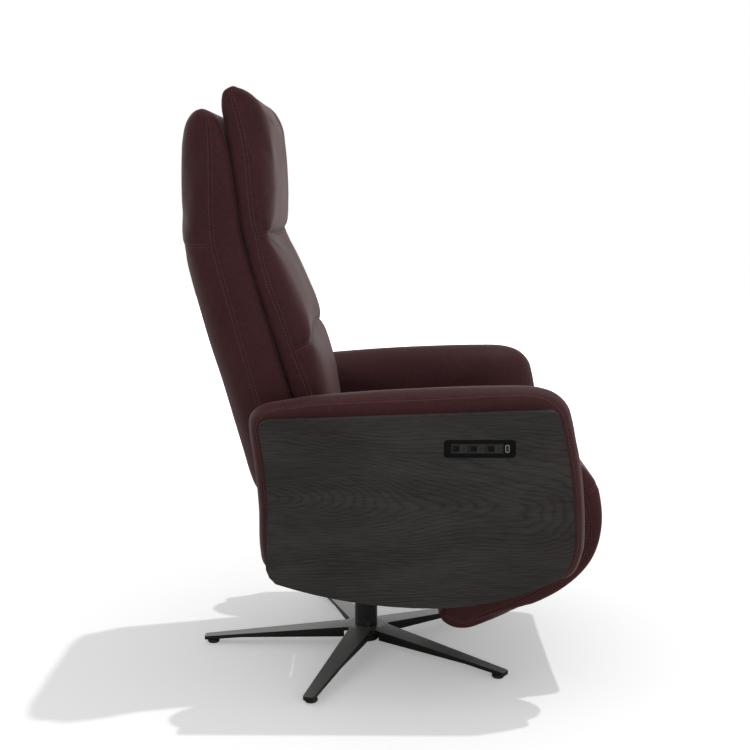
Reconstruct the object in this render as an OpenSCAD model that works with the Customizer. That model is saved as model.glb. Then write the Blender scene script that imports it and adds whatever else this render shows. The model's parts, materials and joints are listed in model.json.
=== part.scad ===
// Motor recliner on a five-star swivel base.
// Millimetres, +Z up. The origin is on the floor under the swivel column.
// The chair faces -Y, so the sitter's right arm, with the switches, is at -X.

/* [Width] */
// Width of the seat, back and leg rest pads
pad_w = 471; // [430:1:540]
// Gap from the pads to each arm, where the hinge plates stand
plate_gap = 11; // [10:0.5:15]
// Width of each upholstered arm
arm_w = 110; // [100:1:140]
// Thickness of the oak side panels
panel_t = 28; // [24:1:34]

/* [Seat] */
// Distance between the back pivot and the leg rest pivot
seat_depth = 535; // [510:1:580]
// How far the back pivot lies behind the swivel column
back_pivot_y = 130; // [122:1:150]
// Height of the back pivot above the swivel plate
back_pivot_h = 140; // [136:1:146]
// Height of the leg rest pivot above the swivel plate
leg_pivot_h = 85; // [80:1:88]
// Thickness of the seat cushion at its rear edge
cushion_t = 84; // [74:1:95]

/* [Back] */
// Lean of the backrest from the vertical at rest
lean = 16.5; // [14:0.5:19]
// Length of the backrest from its pivot to the head pivot
back_len = 472; // [440:1:520]
// Thickness of the rear shell behind the frame line
shell_t = 87; // [80:1:96]
// Thickness of the front cushions before the frame line
front_t = 66; // [58:1:74]
// How far the front cushions bulge between their creases
bulge = 14; // [6:1:18]
// Height of the head cushion above the head pivot
head_h = 290; // [250:1:320]
// Radius of the rounded lower end of the head pads
head_ball = 62; // [58:1:66]

/* [Leg rest] */
// Radius of the knee roll round the leg rest pivot
roll_r = 83; // [80:1:86]
// Radius of the bend in the outer face of the leg rest
leg_bend_r = 150; // [130:1:160]
// Length of the leg rest from its pivot to its tip
leg_len = 351; // [320:1:356]
// Thickness of the rounded tip of the leg rest
leg_tip_t = 60; // [50:1:64]
// Thickness of the plywood boards
board_t = 12; // [10:1:14]

/* [Arms] */
// Height of the arm tops above the swivel plate
arm_h = 329; // [318:1:360]
// Depth of the leather above the top edge of the oak panel
panel_drop = 38; // [34:1:46]
// Rounding of the arms along their long edges
arm_edge = 24; // [16:1:30]
// Thickness of the arm frame boards
arm_board_t = 18; // [15:1:20]

/* [Switches] */
// Length of the recessed switch plate
switch_l = 134; // [128:1:150]
// Height of the recessed switch plate
switch_h = 34; // [28:1:40]
// Length of one rocker
rocker_l = 29; // [26:0.5:31]
// Height of one rocker
rocker_h = 14.5; // [12:0.5:18]
// Distance from one rocker to the next
rocker_pitch = 32.6; // [32:0.1:33.5]
// Travel of a rocker to each side, in degrees
rocker_travel = 5; // [3:1:5]

/* [Base] */
// Radius on which the glides stand
base_r = 340; // [310:1:370]
// Height of the top of the hub
hub_h = 44; // [40:1:54]
// Width of a leg where it leaves the hub
leg_w_hub = 50; // [44:1:56]
// Width of a leg at its tip
leg_w_tip = 23; // [18:1:30]
// Thickness of the flat top plate of a leg
leg_plate_t = 8; // [6:0.5:10]
// Height of the glides
glide_h = 8; // [6:0.5:10]
// Diameter of the glides
glide_d = 26; // [20:1:30]
// Outside diameter of the column
column_d = 50; // [48:1:60]
// Height of the top of the column
column_h = 282; // [270:1:310]

/* [Mechanism] */
// Diameter of the back and leg rest pivot pins
pin_d = 16; // [14:1:18]
// Radius of the lever that the back motor pushes
lever_r = 120; // [118:1:124]
// Recline of the back from rest, in degrees
recline = 40; // [30:1:42]
// Diameter of the motor rod
rod_d = 20; // [16:1:20]
// Outside diameter of the motor tube
motor_tube_d = 36; // [32:1:38]
// Outside diameter of the leg rest torque tube
torque_d = 45; // [42:1:50]
// Outside diameter of the head hinge tube
head_tube_d = 38; // [36:1:40]
// Number of zigzag springs under the seat
spring_count = 5; // [4:1:6]
// Thickness of the seat springs' wire
wire_d = 3.6; // [3:0.2:4]

/* [Hidden] */

leather = [0.30, 0.19, 0.19];
oak = [0.22, 0.21, 0.20];
steel = [0.45, 0.46, 0.48];
black = [0.08, 0.08, 0.08];
ply = [0.72, 0.58, 0.40];

fit = 0.05; // radial clearance of a running fit
seat_gap = 0.3; // clearance between pieces that only meet
soft_gap = 1.5; // clearance round a soft end that turns in a hollow
swing_gap = 2.5; // clearance between the pads and the hinge plates

// Places along X
hw = pad_w / 2;
plate_in = hw + swing_gap;
plate_t = 5;
plate_out = plate_in + plate_t;
arm_in = hw + plate_gap;
arm_out = arm_in + arm_w;
panel_out = arm_out + panel_t;
rail_w = 25;
tube_in = hw - 51; // inner face of the back's side tubes
tube_w = 25;

// Levels of the swivel plate and what stands on it
race_t = 2.5;
ball_d = 5;
flange_t = 8;
z0 = column_h + 2 * race_t + ball_d + flange_t;
plate_h = 6;
rail_bottom = z0 + 48;
rail_top = rail_bottom + 34;

// Pivots, as [y, z]
back_pivot = [back_pivot_y, z0 + back_pivot_h];
leg_pivot = [back_pivot_y - seat_depth, z0 + leg_pivot_h];
up = [sin(lean), cos(lean)];
out = [-cos(lean), sin(lean)];
frame_b = 26.5; // how far the line between shell and cushions lies before the back pivot
function back_at(a, b) = back_pivot + a * up + b * out;
head_pivot = back_at(back_len, frame_b);
function head_at(a, b) = head_pivot + [-b, a];
back_end_r = 102;

// Curves in the plane of the chair's side

// Part of a circle from the angle a0 to a1
function arc(c, r, a0, a1, n) = [for (i = [0:n])
    let (a = a0 + (a1 - a0) * i / n)
    c + r * [cos(a), sin(a)]];

// A smooth curve from p to r that is pulled towards q
function bend(p, q, r, n) = [for (i = [0:n])
    let (t = i / n)
    (1 - t) * (1 - t) * p + 2 * t * (1 - t) * q + t * t * r];

function unit(v) = v / norm(v);
function side_normal(e) = [e[1], -e[0]];

// A closed outline without corners that fall together
function clean(o) = [for (i = [0:len(o) - 1]) if (norm(o[i] - o[(i + 1) % len(o)]) > 0.05) o[i]];

// Distance from p to the nearest point of the line from a to b
function to_line(p, a, b) = let (t = (p - a) * (b - a) / ((b - a) * (b - a)))
    norm(p - a - max(0, min(1, t)) * (b - a));

// Outward direction at each corner of an anticlockwise outline, averaged over about the length r,
// so that it turns gently round a corner and is shorter there
function normals(o, r) = let (n = len(o))
    let (sides = [for (i = [0:n - 1]) side_normal(unit(o[(i + 1) % n] - o[i]))])
    let (lengths = [for (i = [0:n - 1]) min(r, norm(o[(i + 1) % n] - o[i]))])
    [for (p = o)
        let (weights = [for (i = [0:n - 1]) lengths[i] * exp(-pow(to_line(p, o[i], o[(i + 1) % n]) / r, 2))])
        weights * sides / (weights * [for (v = sides) 1])];

// Triangles that fill the outline o between its corners i and j, laid across it from side to side
function across(o, i, j, left) = left == 0 ? [] :
    let (n = len(o), a = (i + 1) % n, b = (j + n - 1) % n)
    norm(o[a] - o[j]) < norm(o[i] - o[b])
        ? concat([[i, a, j]], across(o, a, j, left - 1))
        : concat([[i, b, j]], across(o, i, b, left - 1));

// The same for the whole outline, from its corner number tip
function fill(o, tip) = let (n = len(o), i = (tip + 1) % n, j = (tip + n - 1) % n)
    concat([[tip, i, j]], across(o, i, j, n - 3));

// A padded form: the outline carried along X, drawn in towards its rounded ends.
// crown swells the face that looks along lit, and draw narrows the middle of the sides.
// turning lists [centre, radius] of round ends that turn in a hollow and so don't swell.
module padding(outline, w, edge, crown = 0, lit = [0, 1], draw = 0, along = [1, 0], turning = []) {
    o = clean(outline);
    n = len(o);
    nn = normals(o, edge * 0.9);
    steps = [1, 0.88, 0.55, 0];
    right = concat([for (s = steps) [w - edge * (1 - s), edge * (1 - sqrt(1 - s * s * 0.98))]],
        [[w * 0.45, 0]]);
    xs = concat([for (r = right) [-r[0], r[1]]], [[0, 0]], [for (i = [len(right) - 1:-1:0]) right[i]]);
    m = len(xs);
    reach = [for (p = o) p * along];
    mid = (max(reach) + min(reach)) / 2;
    half = (max(reach) - min(reach)) / 2;
    points = [for (s = xs) for (i = [0:n - 1])
        let (q = (reach[i] - mid) / half)
        let (x = s[0] * (1 - draw / w * (1 - q * q)))
        let (free = min([1, for (c = turning) max(0, (norm(o[i] - c[0]) - c[1]) / 25)]))
        let (swell = free * crown * max(0, 2 * (nn[i] * lit) - 1) * (1 - pow(s[0] / w, 2)))
        let (p = o[i] + swell * lit - s[1] * nn[i])
        [x, p[0], p[1]]];
    walls = [for (k = [0:m - 2]) for (i = [0:n - 1])
        let (a = k * n + i, b = k * n + (i + 1) % n)
        each [[a, a + n, b + n], [a, b + n, b]]];
    end = fill(o, search(max(reach), reach)[0]);
    far_end = [for (t = end) [for (i = [0, 2, 1]) (m - 1) * n + t[i]]];
    polyhedron(points = points, faces = concat(walls, end, far_end), convexity = 6);
}

// A plate or bar whose outline [y, z] is carried from x0 to x1
module slab(o, x0, x1) {
    translate([x0, 0, 0]) rotate([90, 0, 90]) linear_extrude(x1 - x0) polygon(o);
}

// A round bar along X at p = [y, z]
module rod_x(p, d, x0, x1, sides = 48) {
    translate([x0, p[0], p[1]]) rotate([0, 90, 0]) cylinder(d = d, h = x1 - x0, $fn = sides);
}

module ring_x(p, d, bore, x0, x1) {
    difference() {
        rod_x(p, d, x0, x1);
        rod_x(p, bore, x0 - 1, x1 + 1);
    }
}

module both_sides() {
    children();
    mirror([1, 0, 0]) children();
}

trim = 3; // what is cut off the end of a padded form to leave it flat

// All that lies past x = x0
module beyond(x0) {
    far = 2000;
    block([x0, x0 + 10], [-far, far], [-far, far]);
}

module block(x, y, z) {
    translate([x[0], y[0], z[0]]) cube([x[1] - x[0], y[1] - y[0], z[1] - z[0]]);
}

// A bar in the side plane from p to q, w wide, with round ends
function bar(p, q, w) = let (a = atan2(q[1] - p[1], q[0] - p[0]))
    concat(arc(q, w / 2, a - 90, a + 90, 8), arc(p, w / 2, a + 90, a + 270, 8));

// Star base

leg_slope = (leg_w_hub - leg_w_tip) / 2 / (base_r + 8 - 40);
tip_r = base_r + 19;
boss_d = column_d + 14;
tip_top = glide_h + leg_plate_t;

// Half width of a leg at radius r, less an inset
function leg_half(r, inset) = leg_w_hub / 2 - inset - leg_slope * (r - 40);

// One fifth of the star: the leg's two sides and the hollow between it and the next leg
function star_fifth(turn, r1, inset, hollow) =
    let (w0 = leg_half(0, inset), d = (hollow + w0) / (sin(36) + leg_slope * cos(36)))
    let (c = d * [cos(turn + 36), sin(turn + 36)], t = leg_half(r1, inset), k = atan(leg_slope))
    let (ax = [cos(turn), sin(turn)], ay = [-sin(turn), cos(turn)])
    let (bx = [cos(turn + 72), sin(turn + 72)], by = [-sin(turn + 72), cos(turn + 72)])
    concat([ax * r1 - ay * (t - 3), ax * r1 + ay * (t - 3), ax * (r1 - 3) + ay * t],
        arc(c, hollow, turn + 270 - k, turn + 162 + k, 5),
        [bx * (r1 - 3) - by * t]);

module star(r1, inset, hollow) {
    polygon([for (i = [0:4]) each star_fifth(90 + 72 * i, r1, inset, hollow)]);
}

module star_base() {
    rib_end = base_r * 0.82;
    rib_inset = leg_w_tip * 0.24;
    rib_z = glide_h + 5;
    slope = (hub_h - tip_top) / (tip_r - 40);
    color([0.25, 0.25, 0.25]) difference() {
        union() {
            intersection() {
                linear_extrude(hub_h + 1) star(tip_r, 0, 9);
                rotate_extrude($fn = 96) polygon([[0, hub_h - leg_plate_t], [40, hub_h - leg_plate_t],
                    [tip_r + 1, glide_h - slope], [tip_r + 1, tip_top - slope], [40, hub_h], [0, hub_h]]);
            }
            intersection() {
                linear_extrude(hub_h) star(rib_end, rib_inset, 12);
                rotate_extrude($fn = 96) polygon([[52, hub_h - leg_plate_t - slope * 10], [52, rib_z + 6],
                    [rib_end + 1, rib_z], [rib_end + 1, glide_h + 1 + slope * (tip_r - rib_end)],
                    [53, hub_h - leg_plate_t + 1 - slope * 13]]);
            }
            translate([0, 0, glide_h + 7]) cylinder(d = boss_d, h = hub_h - glide_h - 8, $fn = 64);
        }
        translate([0, 0, -1]) cylinder(d = column_d + 0.04, h = hub_h + 3, $fn = 64);
        for (i = [0:4])
            rotate(90 + 72 * i) translate([base_r, 0, -1]) cylinder(d = 8, h = glide_h + 6, $fn = 24);
    }
}

module base_glides() {
    color(black) for (i = [0:4]) rotate(90 + 72 * i) translate([base_r, 0, 0]) rotate_extrude($fn = 32)
        polygon([[0, 0], [glide_d / 2 - 2, 0], [glide_d / 2, 2.5], [glide_d / 2, glide_h - 2],
            [glide_d / 2 - 2.5, glide_h - 0.6], [3.9, glide_h - 0.6], [3.9, glide_h + 4], [0, glide_h + 4]]);
}

// Swivel column

tube_bottom = glide_h + 6.5;
bush_t = 2;
tube_wall = 3;
spindle_d = column_d - 2 * tube_wall - 2 * bush_t;
bush_l = 32;

module column_tube() {
    color(black) translate([0, 0, tube_bottom]) difference() {
        cylinder(d = column_d, h = column_h - tube_bottom, $fn = 64);
        translate([0, 0, -1]) cylinder(d = column_d - 2 * tube_wall, h = column_h, $fn = 64);
    }
}

module swivel_bushes() {
    color("white") for (z = [tube_bottom, column_h - bush_l]) translate([0, 0, z]) difference() {
        cylinder(d = column_d - 2 * tube_wall - 0.04, h = bush_l, $fn = 64);
        translate([0, 0, -1]) cylinder(d = spindle_d + 2 * fit, h = bush_l + 2, $fn = 64);
    }
}

race_d = column_d + 12;
ball_r = (spindle_d + race_d) / 4;

module race() {
    difference() {
        cylinder(d = race_d, h = race_t, $fn = 64);
        translate([0, 0, -1]) cylinder(d = spindle_d + 1, h = race_t + 2, $fn = 64);
    }
}

module thrust_bearing_lower() {
    color(steel) {
        translate([0, 0, column_h]) race();
        for (i = [0:11]) rotate(30 * i) translate([ball_r, 0, column_h + race_t + ball_d / 2])
            sphere(d = ball_d - 0.04, $fn = 24);
    }
}

module thrust_bearing_upper() {
    color(steel) translate([0, 0, column_h + race_t + ball_d]) race();
}

module swivel_spindle() {
    bottom = tube_bottom - seat_gap;
    color(steel) difference() {
        union() {
            translate([0, 0, bottom]) cylinder(d = spindle_d, h = z0 - bottom, $fn = 64);
            translate([0, 0, z0 - flange_t]) cylinder(d = race_d + 38, h = flange_t, $fn = 64);
        }
        translate([0, 0, bottom - 1]) cylinder(d = 10.2, h = 31, $fn = 32);
        flange_holes();
    }
}

module flange_holes() {
    for (i = [0:3]) rotate(45 + 90 * i) translate([race_d / 2 + 11, 0, z0 - flange_t - 1])
        cylinder(d = 8.4, h = flange_t + plate_h + 2, $fn = 24);
}

// Bolts up through the flange, with nuts on the plate
module plate_bolts() {
    color(steel) for (i = [0:3]) rotate(45 + 90 * i) translate([race_d / 2 + 11, 0, z0 - flange_t]) {
        translate([0, 0, -5.3]) cylinder(d = 14, h = 5.3, $fn = 6);
        cylinder(d = 8, h = flange_t + plate_h + 7, $fn = 24);
        translate([0, 0, flange_t + plate_h]) cylinder(d = 14, h = 6, $fn = 6);
    }
}

module spindle_washer() {
    top = tube_bottom - seat_gap;
    color(black) {
        translate([0, 0, top - 4]) difference() {
            cylinder(d = column_d + 4, h = 4, $fn = 64);
            translate([0, 0, -1]) cylinder(d = 10.6, h = 6, $fn = 32);
        }
        translate([0, 0, top]) cylinder(d = 10, h = 26, $fn = 32);
        translate([0, 0, top - 4]) cylinder(d = 10, h = 4, $fn = 32);
        translate([0, 0, top - 10]) cylinder(d = 17, h = 6, $fn = 6);
    }
}

// Seat frame

plate_front = -175;
plate_back = 70;
bracket_w = 25;
bracket_ys = [plate_front, plate_back - bracket_w];
bracket_in = 150;
flange_x = arm_out - arm_board_t; // inner face of the arm boards
wall = 2; // wall of the frame tubes
rail_front = leg_pivot[0] + roll_r + 5;
rail_rear = back_pivot[0] - 100;

module swivel_plate() {
    color(steel) difference() {
        union() {
            block([-plate_in + 6, plate_in - 6], [plate_front, plate_back], [z0, z0 + plate_h]);
            block([-plate_in + 6, plate_in - 6], [plate_front, plate_front + 4], [z0 - 14, z0]);
            block([-plate_in + 6, plate_in - 6], [plate_back - 4, plate_back], [z0 - 14, z0]);
        }
        flange_holes();
        for (x = [-120, 120]) translate([x, (plate_front + plate_back) / 2, z0 - 1])
            cylinder(d = 76, h = plate_h + 2, $fn = 48);
    }
}

module arm_brackets() {
    color(black) both_sides() for (y = bracket_ys) difference() {
        union() {
            block([bracket_in, flange_x - 6], [y, y + bracket_w], [z0 + plate_h, rail_bottom]);
            block([flange_x - 6, flange_x], [y - 18, y + bracket_w + 18], [z0 + plate_h, rail_bottom + 24]);
        }
        block([bracket_in - 1, flange_x - 8], [y + wall, y + bracket_w - wall],
            [z0 + plate_h + wall, rail_bottom - wall]);
        for (dy = [-10, bracket_w + 10]) rod_x([y + dy, rail_bottom + 10], 7, flange_x - 7, flange_x + 1, 24);
    }
}

module seat_side_rails() {
    color(steel) both_sides() difference() {
        block([plate_in - rail_w, plate_in], [rail_front, rail_rear], [rail_bottom, rail_top]);
        block([plate_in - rail_w + wall, plate_in - wall], [rail_front - 1, rail_rear + 1],
            [rail_bottom + wall, rail_top - wall]);
    }
}

module seat_cross_rails() {
    x1 = plate_in - rail_w;
    color(steel) for (y = [rail_front, rail_rear - rail_w]) difference() {
        block([-x1, x1], [y, y + rail_w], [rail_bottom, rail_top]);
        block([-x1 - 1, x1 + 1], [y + wall, y + rail_w - wall], [rail_bottom + wall, rail_top - wall]);
    }
}

// Bolted flat on the side rails, each plate carries the back pivot and the leg rest pivot
module hinge_plates() {
    mid_z = (rail_bottom + rail_top) / 2;
    rear = [rail_rear - 10, mid_z];
    front = [rail_front + 20, mid_z];
    outline = concat(arc(back_pivot, 22, -60, 130, 10), [rear + [-45, 17]], [front + [35, 17]],
        arc(leg_pivot, 20, 80, 260, 10), [front + [0, -17]], [rear + [10, -17]]);
    color(black) both_sides() difference() {
        slab(outline, plate_in, plate_out);
        rod_x(back_pivot, pin_d, plate_in - 1, plate_out + 1);
        rod_x(leg_pivot, pin_d, plate_in - 1, plate_out + 1);
    }
}

module back_pivot_pins() {
    color(steel) both_sides() {
        rod_x(back_pivot, pin_d - 0.02, tube_in + 2, plate_out);
        rod_x(back_pivot, pin_d + 6, plate_out, plate_out + 2.5);
    }
}

module leg_pivot_pin() {
    color(steel) {
        rod_x(leg_pivot, pin_d - 0.02, hw - 56, plate_out);
        rod_x(leg_pivot, pin_d + 6, plate_out, plate_out + 2.5);
    }
}

// Zigzag springs

spring_pitch = 18;
spring_y0 = rail_front + 8;
spring_y1 = rail_rear - 8;
spring_half = 25;
spring_turns = floor((spring_y1 - spring_y0) / spring_pitch);

// Centre line of the zigzag: runs across, joined by half circles at alternate ends
function zigzag(side) = let (r = spring_pitch / 2)
    [for (i = [0:spring_turns - 1]) let (s = i % 2 == 0 ? 1 : -1, y = spring_y0 + (i + 0.5) * spring_pitch)
        for (j = [0:4]) let (a = -90 + 45 * j, w = r + side * s * wire_d / 2)
            [s * (spring_half - r + w * cos(a)), y + w * sin(a)]];

module seat_springs() {
    gap = 2 * (plate_in - rail_w - 30) / spring_count;
    start = [[0, spring_y0 - wire_d / 2], [0, spring_y0 + wire_d / 2]];
    color(steel) for (i = [0:spring_count - 1]) translate([gap * (i - (spring_count - 1) / 2), 0, rail_top])
        linear_extrude(wire_d) polygon(concat([start[0]], zigzag(1), reverse_points(zigzag(-1)), [start[1]]));
}

function reverse_points(p) = [for (i = [len(p) - 1:-1:0]) p[i]];

// Seat cushion

cushion_bottom = rail_top + wire_d + seat_gap;
cushion_rear_top = cushion_bottom + cushion_t;
nose = leg_pivot + (roll_r + soft_gap) * [cos(92), sin(92)];

module seat_cushion() {
    ball = back_end_r + soft_gap + 1;
    a_top = asin((cushion_rear_top - back_pivot[1]) / ball);
    a_low = asin((cushion_bottom - back_pivot[1]) / ball);
    b_low = asin((cushion_bottom - leg_pivot[1]) / (roll_r + soft_gap));
    rear_top = back_pivot + ball * [-cos(a_top), sin(a_top)];
    front_top = nose + [-2, 10];
    outline = concat(arc(back_pivot, ball, 180 - a_low, 180 - a_top, 5),
        bend(rear_top + [-6, 3], rear_top + [-120, 12],
            [(rear_top[0] + front_top[0]) / 2, rear_top[1] + 11], 4),
        bend([front_top[0] + 90, front_top[1] + 9], front_top + [25, 9], front_top, 5),
        arc(leg_pivot, roll_r + soft_gap, 92, b_low, 8));
    color(leather) padding(outline, hw, 16, crown = 9, lit = [0, 1], draw = 5, along = [1, 0],
        turning = [[back_pivot, ball + 1], [leg_pivot, roll_r + soft_gap + 1]]);
}

// Arms

arm_top = z0 + arm_h;
panel_low = z0 - 89;
arm_front = leg_pivot[0] - 21;
arm_rear = back_pivot[0] + 90;
low_y = -130; // the arms are lowest here
front_sweep = 540; // radius of their lower edge before that point
rear_sweep = 950; // and behind it

// Outline of the oak panel: two long arcs below, a bowed front edge and a straight sloping top
function panel_outline(inset) =
    let (front_r = front_sweep, rear_r = rear_sweep, low = panel_low + inset)
    let (front = arm_front + 29 + inset, rear = arm_rear - 37 - inset, top = arm_top - panel_drop - inset)
    let (a_f = 270 - asin((low_y - front - 26) / front_r), a_r = 270 + asin((rear - 16 - low_y) / rear_r))
    concat(arc([low_y, low + front_r], front_r, a_f, 270, 8),
        arc([low_y, low + rear_r], rear_r, 270, a_r, 8),
        bend([rear - 4, low + 60], [rear + 5, low + 72], [rear + 3, low + 100], 2),
        bend([rear - 2, low + 180], [rear, low + 270], [rear + 12, top - 45], 3),
        bend([rear + 14, top - 36], [rear + 14, top - 19], [rear - 12, top - 19], 4),
        bend([front + 50, top], [front + 36, top + 1], [front + 30, top - 16], 3),
        bend([front + 24, top - 40], [front + 4, top - 130], [front, low + 150], 5),
        bend([front, low + 140], [front - 1, low + 88], [front + 15, low + 70], 4));

// Outline of the upholstered arm, outside the panel all round
arm_outline =
    let (f = arm_front, r = arm_rear, t = arm_top, low = panel_low + 4)
    let (a_f = 270 - asin((low_y - f - 62) / front_sweep), a_r = 270 + asin((r - 56 - low_y) / rear_sweep))
    concat(arc([low_y, low + front_sweep], front_sweep, a_f, 270, 5),
        arc([low_y, low + rear_sweep], rear_sweep, 270, a_r, 5),
        bend([r - 42, low + 51], [r - 20, low + 58], [r - 19, low + 90], 3),
        bend([r - 16, low + 180], [r - 12, low + 250], [r - 1, t - 90], 3),
        bend([r, t - 70], [r - 1, t - 36], [r - 57, t - 30], 6),
        bend([r - 118, t - 20], [r - 240, t - 7], [r - 390, t - 2], 4),
        bend([f + 150, t], [f + 52, t + 4], [f + 30, t - 60], 8),
        bend([f + 20, t - 105], [f + 2, t - 180], [f, t - 275], 5),
        bend([f, t - 300], [f + 1, low + 60], [f + 34, low + 34], 4));

board_inset = 36; // how far the arm board stays inside the oak panel's edge

module arm_pad() {
    mid = (arm_in + arm_out) / 2;
    color(leather) difference() {
        translate([mid + trim / 2, 0, 0])
            padding(arm_outline, (arm_w + trim) / 2, arm_edge, crown = 3, lit = [0, 1]);
        beyond(arm_out);
        slab(panel_outline(board_inset - 1), arm_out - arm_board_t - seat_gap, arm_out + 1);
        for (y = bracket_ys) {
            block([arm_in - 1, flange_x], [y - seat_gap, y + bracket_w + seat_gap],
                [z0 + plate_h - seat_gap, rail_bottom + seat_gap]);
            block([flange_x - 11, flange_x + 1], [y - 19, y + bracket_w + 19],
                [z0 + plate_h - 1, rail_bottom + 25]);
        }
    }
}

module arm_pad_left() {
    arm_pad();
}

module arm_pad_right() {
    mirror([1, 0, 0]) arm_pad();
}

module arm_board() {
    color(ply) difference() {
        slab(panel_outline(board_inset), arm_out - arm_board_t, arm_out);
        for (y = bracket_ys, dy = [-10, bracket_w + 10])
            rod_x([y + dy, rail_bottom + 10], 7, arm_out - arm_board_t - 1, arm_out + 1, 24);
    }
}

module arm_board_left() {
    arm_board();
}

module arm_board_right() {
    difference() {
        mirror([1, 0, 0]) arm_board();
        color(ply) switch_cut(-arm_out - 1, -arm_out + arm_board_t + 1, 0.5);
    }
}

module side_panel() {
    eased = 2;
    color(oak) difference() {
        union() {
            slab(panel_outline(0), arm_out, panel_out - eased);
            slab(panel_outline(1), panel_out - eased, panel_out);
        }
        for (y = bracket_ys, dy = [-10, bracket_w + 10])
            rod_x([y + dy, rail_bottom + 10], 6.2, arm_out - 1, arm_out + 16, 24);
    }
}

module side_panel_left() {
    side_panel();
}

module side_panel_right() {
    difference() {
        mirror([1, 0, 0]) side_panel();
        color(oak) {
            switch_recess(0);
            switch_cut(-panel_out, -arm_out + 1, 0.5);
        }
    }
}

// Long screws from inside the arm, through the bracket flange and the board into the panel
module panel_screws() {
    color(steel) both_sides() for (y = bracket_ys, dy = [-10, bracket_w + 10]) {
        rod_x([y + dy, rail_bottom + 10], 6, flange_x - 6, arm_out + 14, 24);
        rod_x([y + dy, rail_bottom + 10], 11, flange_x - 10, flange_x - 6, 24);
    }
}

// Switches in the right arm

switch_c = [arm_front + 210, arm_top - 108];
plate_face = panel_out - 2;
switch_plate_t = 3;
rocker_ys = [for (i = [1, 0, -1]) switch_c[0] + 4.5 + i * rocker_pitch];
usb_y = switch_c[0] - switch_l / 2 + 15.5;
rocker_axis_x = -(plate_face - 6);
housing_h = rocker_h + 7;

function round_box(c, l, h, r) = concat(
    arc(c + [l / 2 - r, h / 2 - r], r, 0, 90, 4), arc(c + [-l / 2 + r, h / 2 - r], r, 90, 180, 4),
    arc(c + [-l / 2 + r, -h / 2 + r], r, 180, 270, 4), arc(c + [l / 2 - r, -h / 2 + r], r, 270, 360, 4));

module switch_recess(gap) {
    slab(round_box(switch_c, switch_l + 2 * gap, switch_h + 2 * gap, 6),
        -panel_out - 1, -plate_face + switch_plate_t);
}

// Room for the switch housing and the socket behind the plate
module switch_cut(x0, x1, gap) {
    y0 = usb_y - 7 - gap;
    y1 = rocker_ys[0] + rocker_l / 2 + 3 + gap;
    block([x0, x1], [y0, y1], [switch_c[1] - 11 - gap, switch_c[1] + 11 + gap]);
}

module switch_plate() {
    x0 = -plate_face;
    color(black) difference() {
        slab(round_box(switch_c, switch_l - 0.4, switch_h - 0.4, 6), x0, x0 + switch_plate_t);
        for (y = rocker_ys) block([x0 - 1, x0 + switch_plate_t + 1],
            [y - rocker_l / 2 - 0.4, y + rocker_l / 2 + 0.4],
            [switch_c[1] - rocker_h / 2 - 0.4, switch_c[1] + rocker_h / 2 + 0.4]);
        slab(round_box([usb_y, switch_c[1]], 8.2, 15.8, 3.5), x0 - 1, x0 + switch_plate_t + 1);
    }
}

module switch_housing() {
    x0 = -plate_face + switch_plate_t;
    y0 = rocker_ys[2] - rocker_l / 2 - 2.5;
    y1 = rocker_ys[0] + rocker_l / 2 + 2.5;
    color([0.15, 0.15, 0.15]) difference() {
        block([x0, x0 + 26], [y0, y1], [switch_c[1] - housing_h / 2, switch_c[1] + housing_h / 2]);
        for (y = rocker_ys) translate([rocker_axis_x, y, switch_c[1] - rocker_h / 2 - 2.5])
            cylinder(d = 3 + 2 * fit, h = rocker_h + 5, $fn = 24);
        for (y = rocker_ys) block([x0 - 1, x0 + 12], [y - rocker_l / 2 - 0.4, y + rocker_l / 2 + 0.4],
            [switch_c[1] - rocker_h / 2 - 0.4, switch_c[1] + rocker_h / 2 + 0.4]);
    }
}

module usb_socket() {
    x0 = -plate_face;
    color([0.8, 0.8, 0.8]) difference() {
        slab(round_box([usb_y, switch_c[1]], 8, 15.6, 3.4), x0 - 0.4, x0 + 14);
        slab(round_box([usb_y, switch_c[1]], 4.4, 11.6, 2), x0 - 1, x0 + 9);
    }
    color(black) slab(round_box([usb_y, switch_c[1]], 1.6, 8, 0.7), x0 + 1, x0 + 9.5);
}

// A rocker has a low ridge in the middle, two dished pads, and a pin across the housing
module rocker(y) {
    h = rocker_h;
    face = -plate_face;
    end = rocker_l / 2;
    top = [[face + 8, y - end], [face + 8, y + end], [face + 0.4, y + end - 0.6],
        [face - 1.2, y + 1], [face - 1.2, y - 1], [face + 0.4, y - end + 0.6]];
    color(black) translate([rocker_axis_x, y, switch_c[1] - h / 2 - 2]) cylinder(d = 3, h = h + 4, $fn = 24);
    color(black) difference() {
        translate([0, 0, switch_c[1] - h / 2]) linear_extrude(h) polygon(top);
        for (s = [-1, 1]) translate([face - 2, y + s * rocker_l * 0.26, switch_c[1]])
            rotate([0, 90, 0]) cylinder(d1 = rocker_l * 0.42, d2 = rocker_l * 0.24, h = 3.2, $fn = 4);
    }
}

module rocker_back() {
    rocker(rocker_ys[0]);
}

module rocker_legs() {
    rocker(rocker_ys[1]);
}

module rocker_head() {
    rocker(rocker_ys[2]);
}

// Motors and control box

rod_z = back_pivot[1] - lever_r * cos(recline / 2);
rod_end_y = back_pivot[0] + lever_r * sin(recline / 2);
stroke = 2 * lever_r * sin(recline / 2);
slot_h = lever_r * (1 - cos(recline / 2));
motor_front = [rail_front + 56, rod_z];
motor_tube_end = rod_end_y - stroke - 22;
lever_pin_d = 12;
gearbox_y = motor_front[0] + 14;

module bar_y(d, y0, y1, x = 0, z = 0) {
    translate([x, y0, z]) rotate([-90, 0, 0]) cylinder(d = d, h = y1 - y0, $fn = 48);
}

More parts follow.
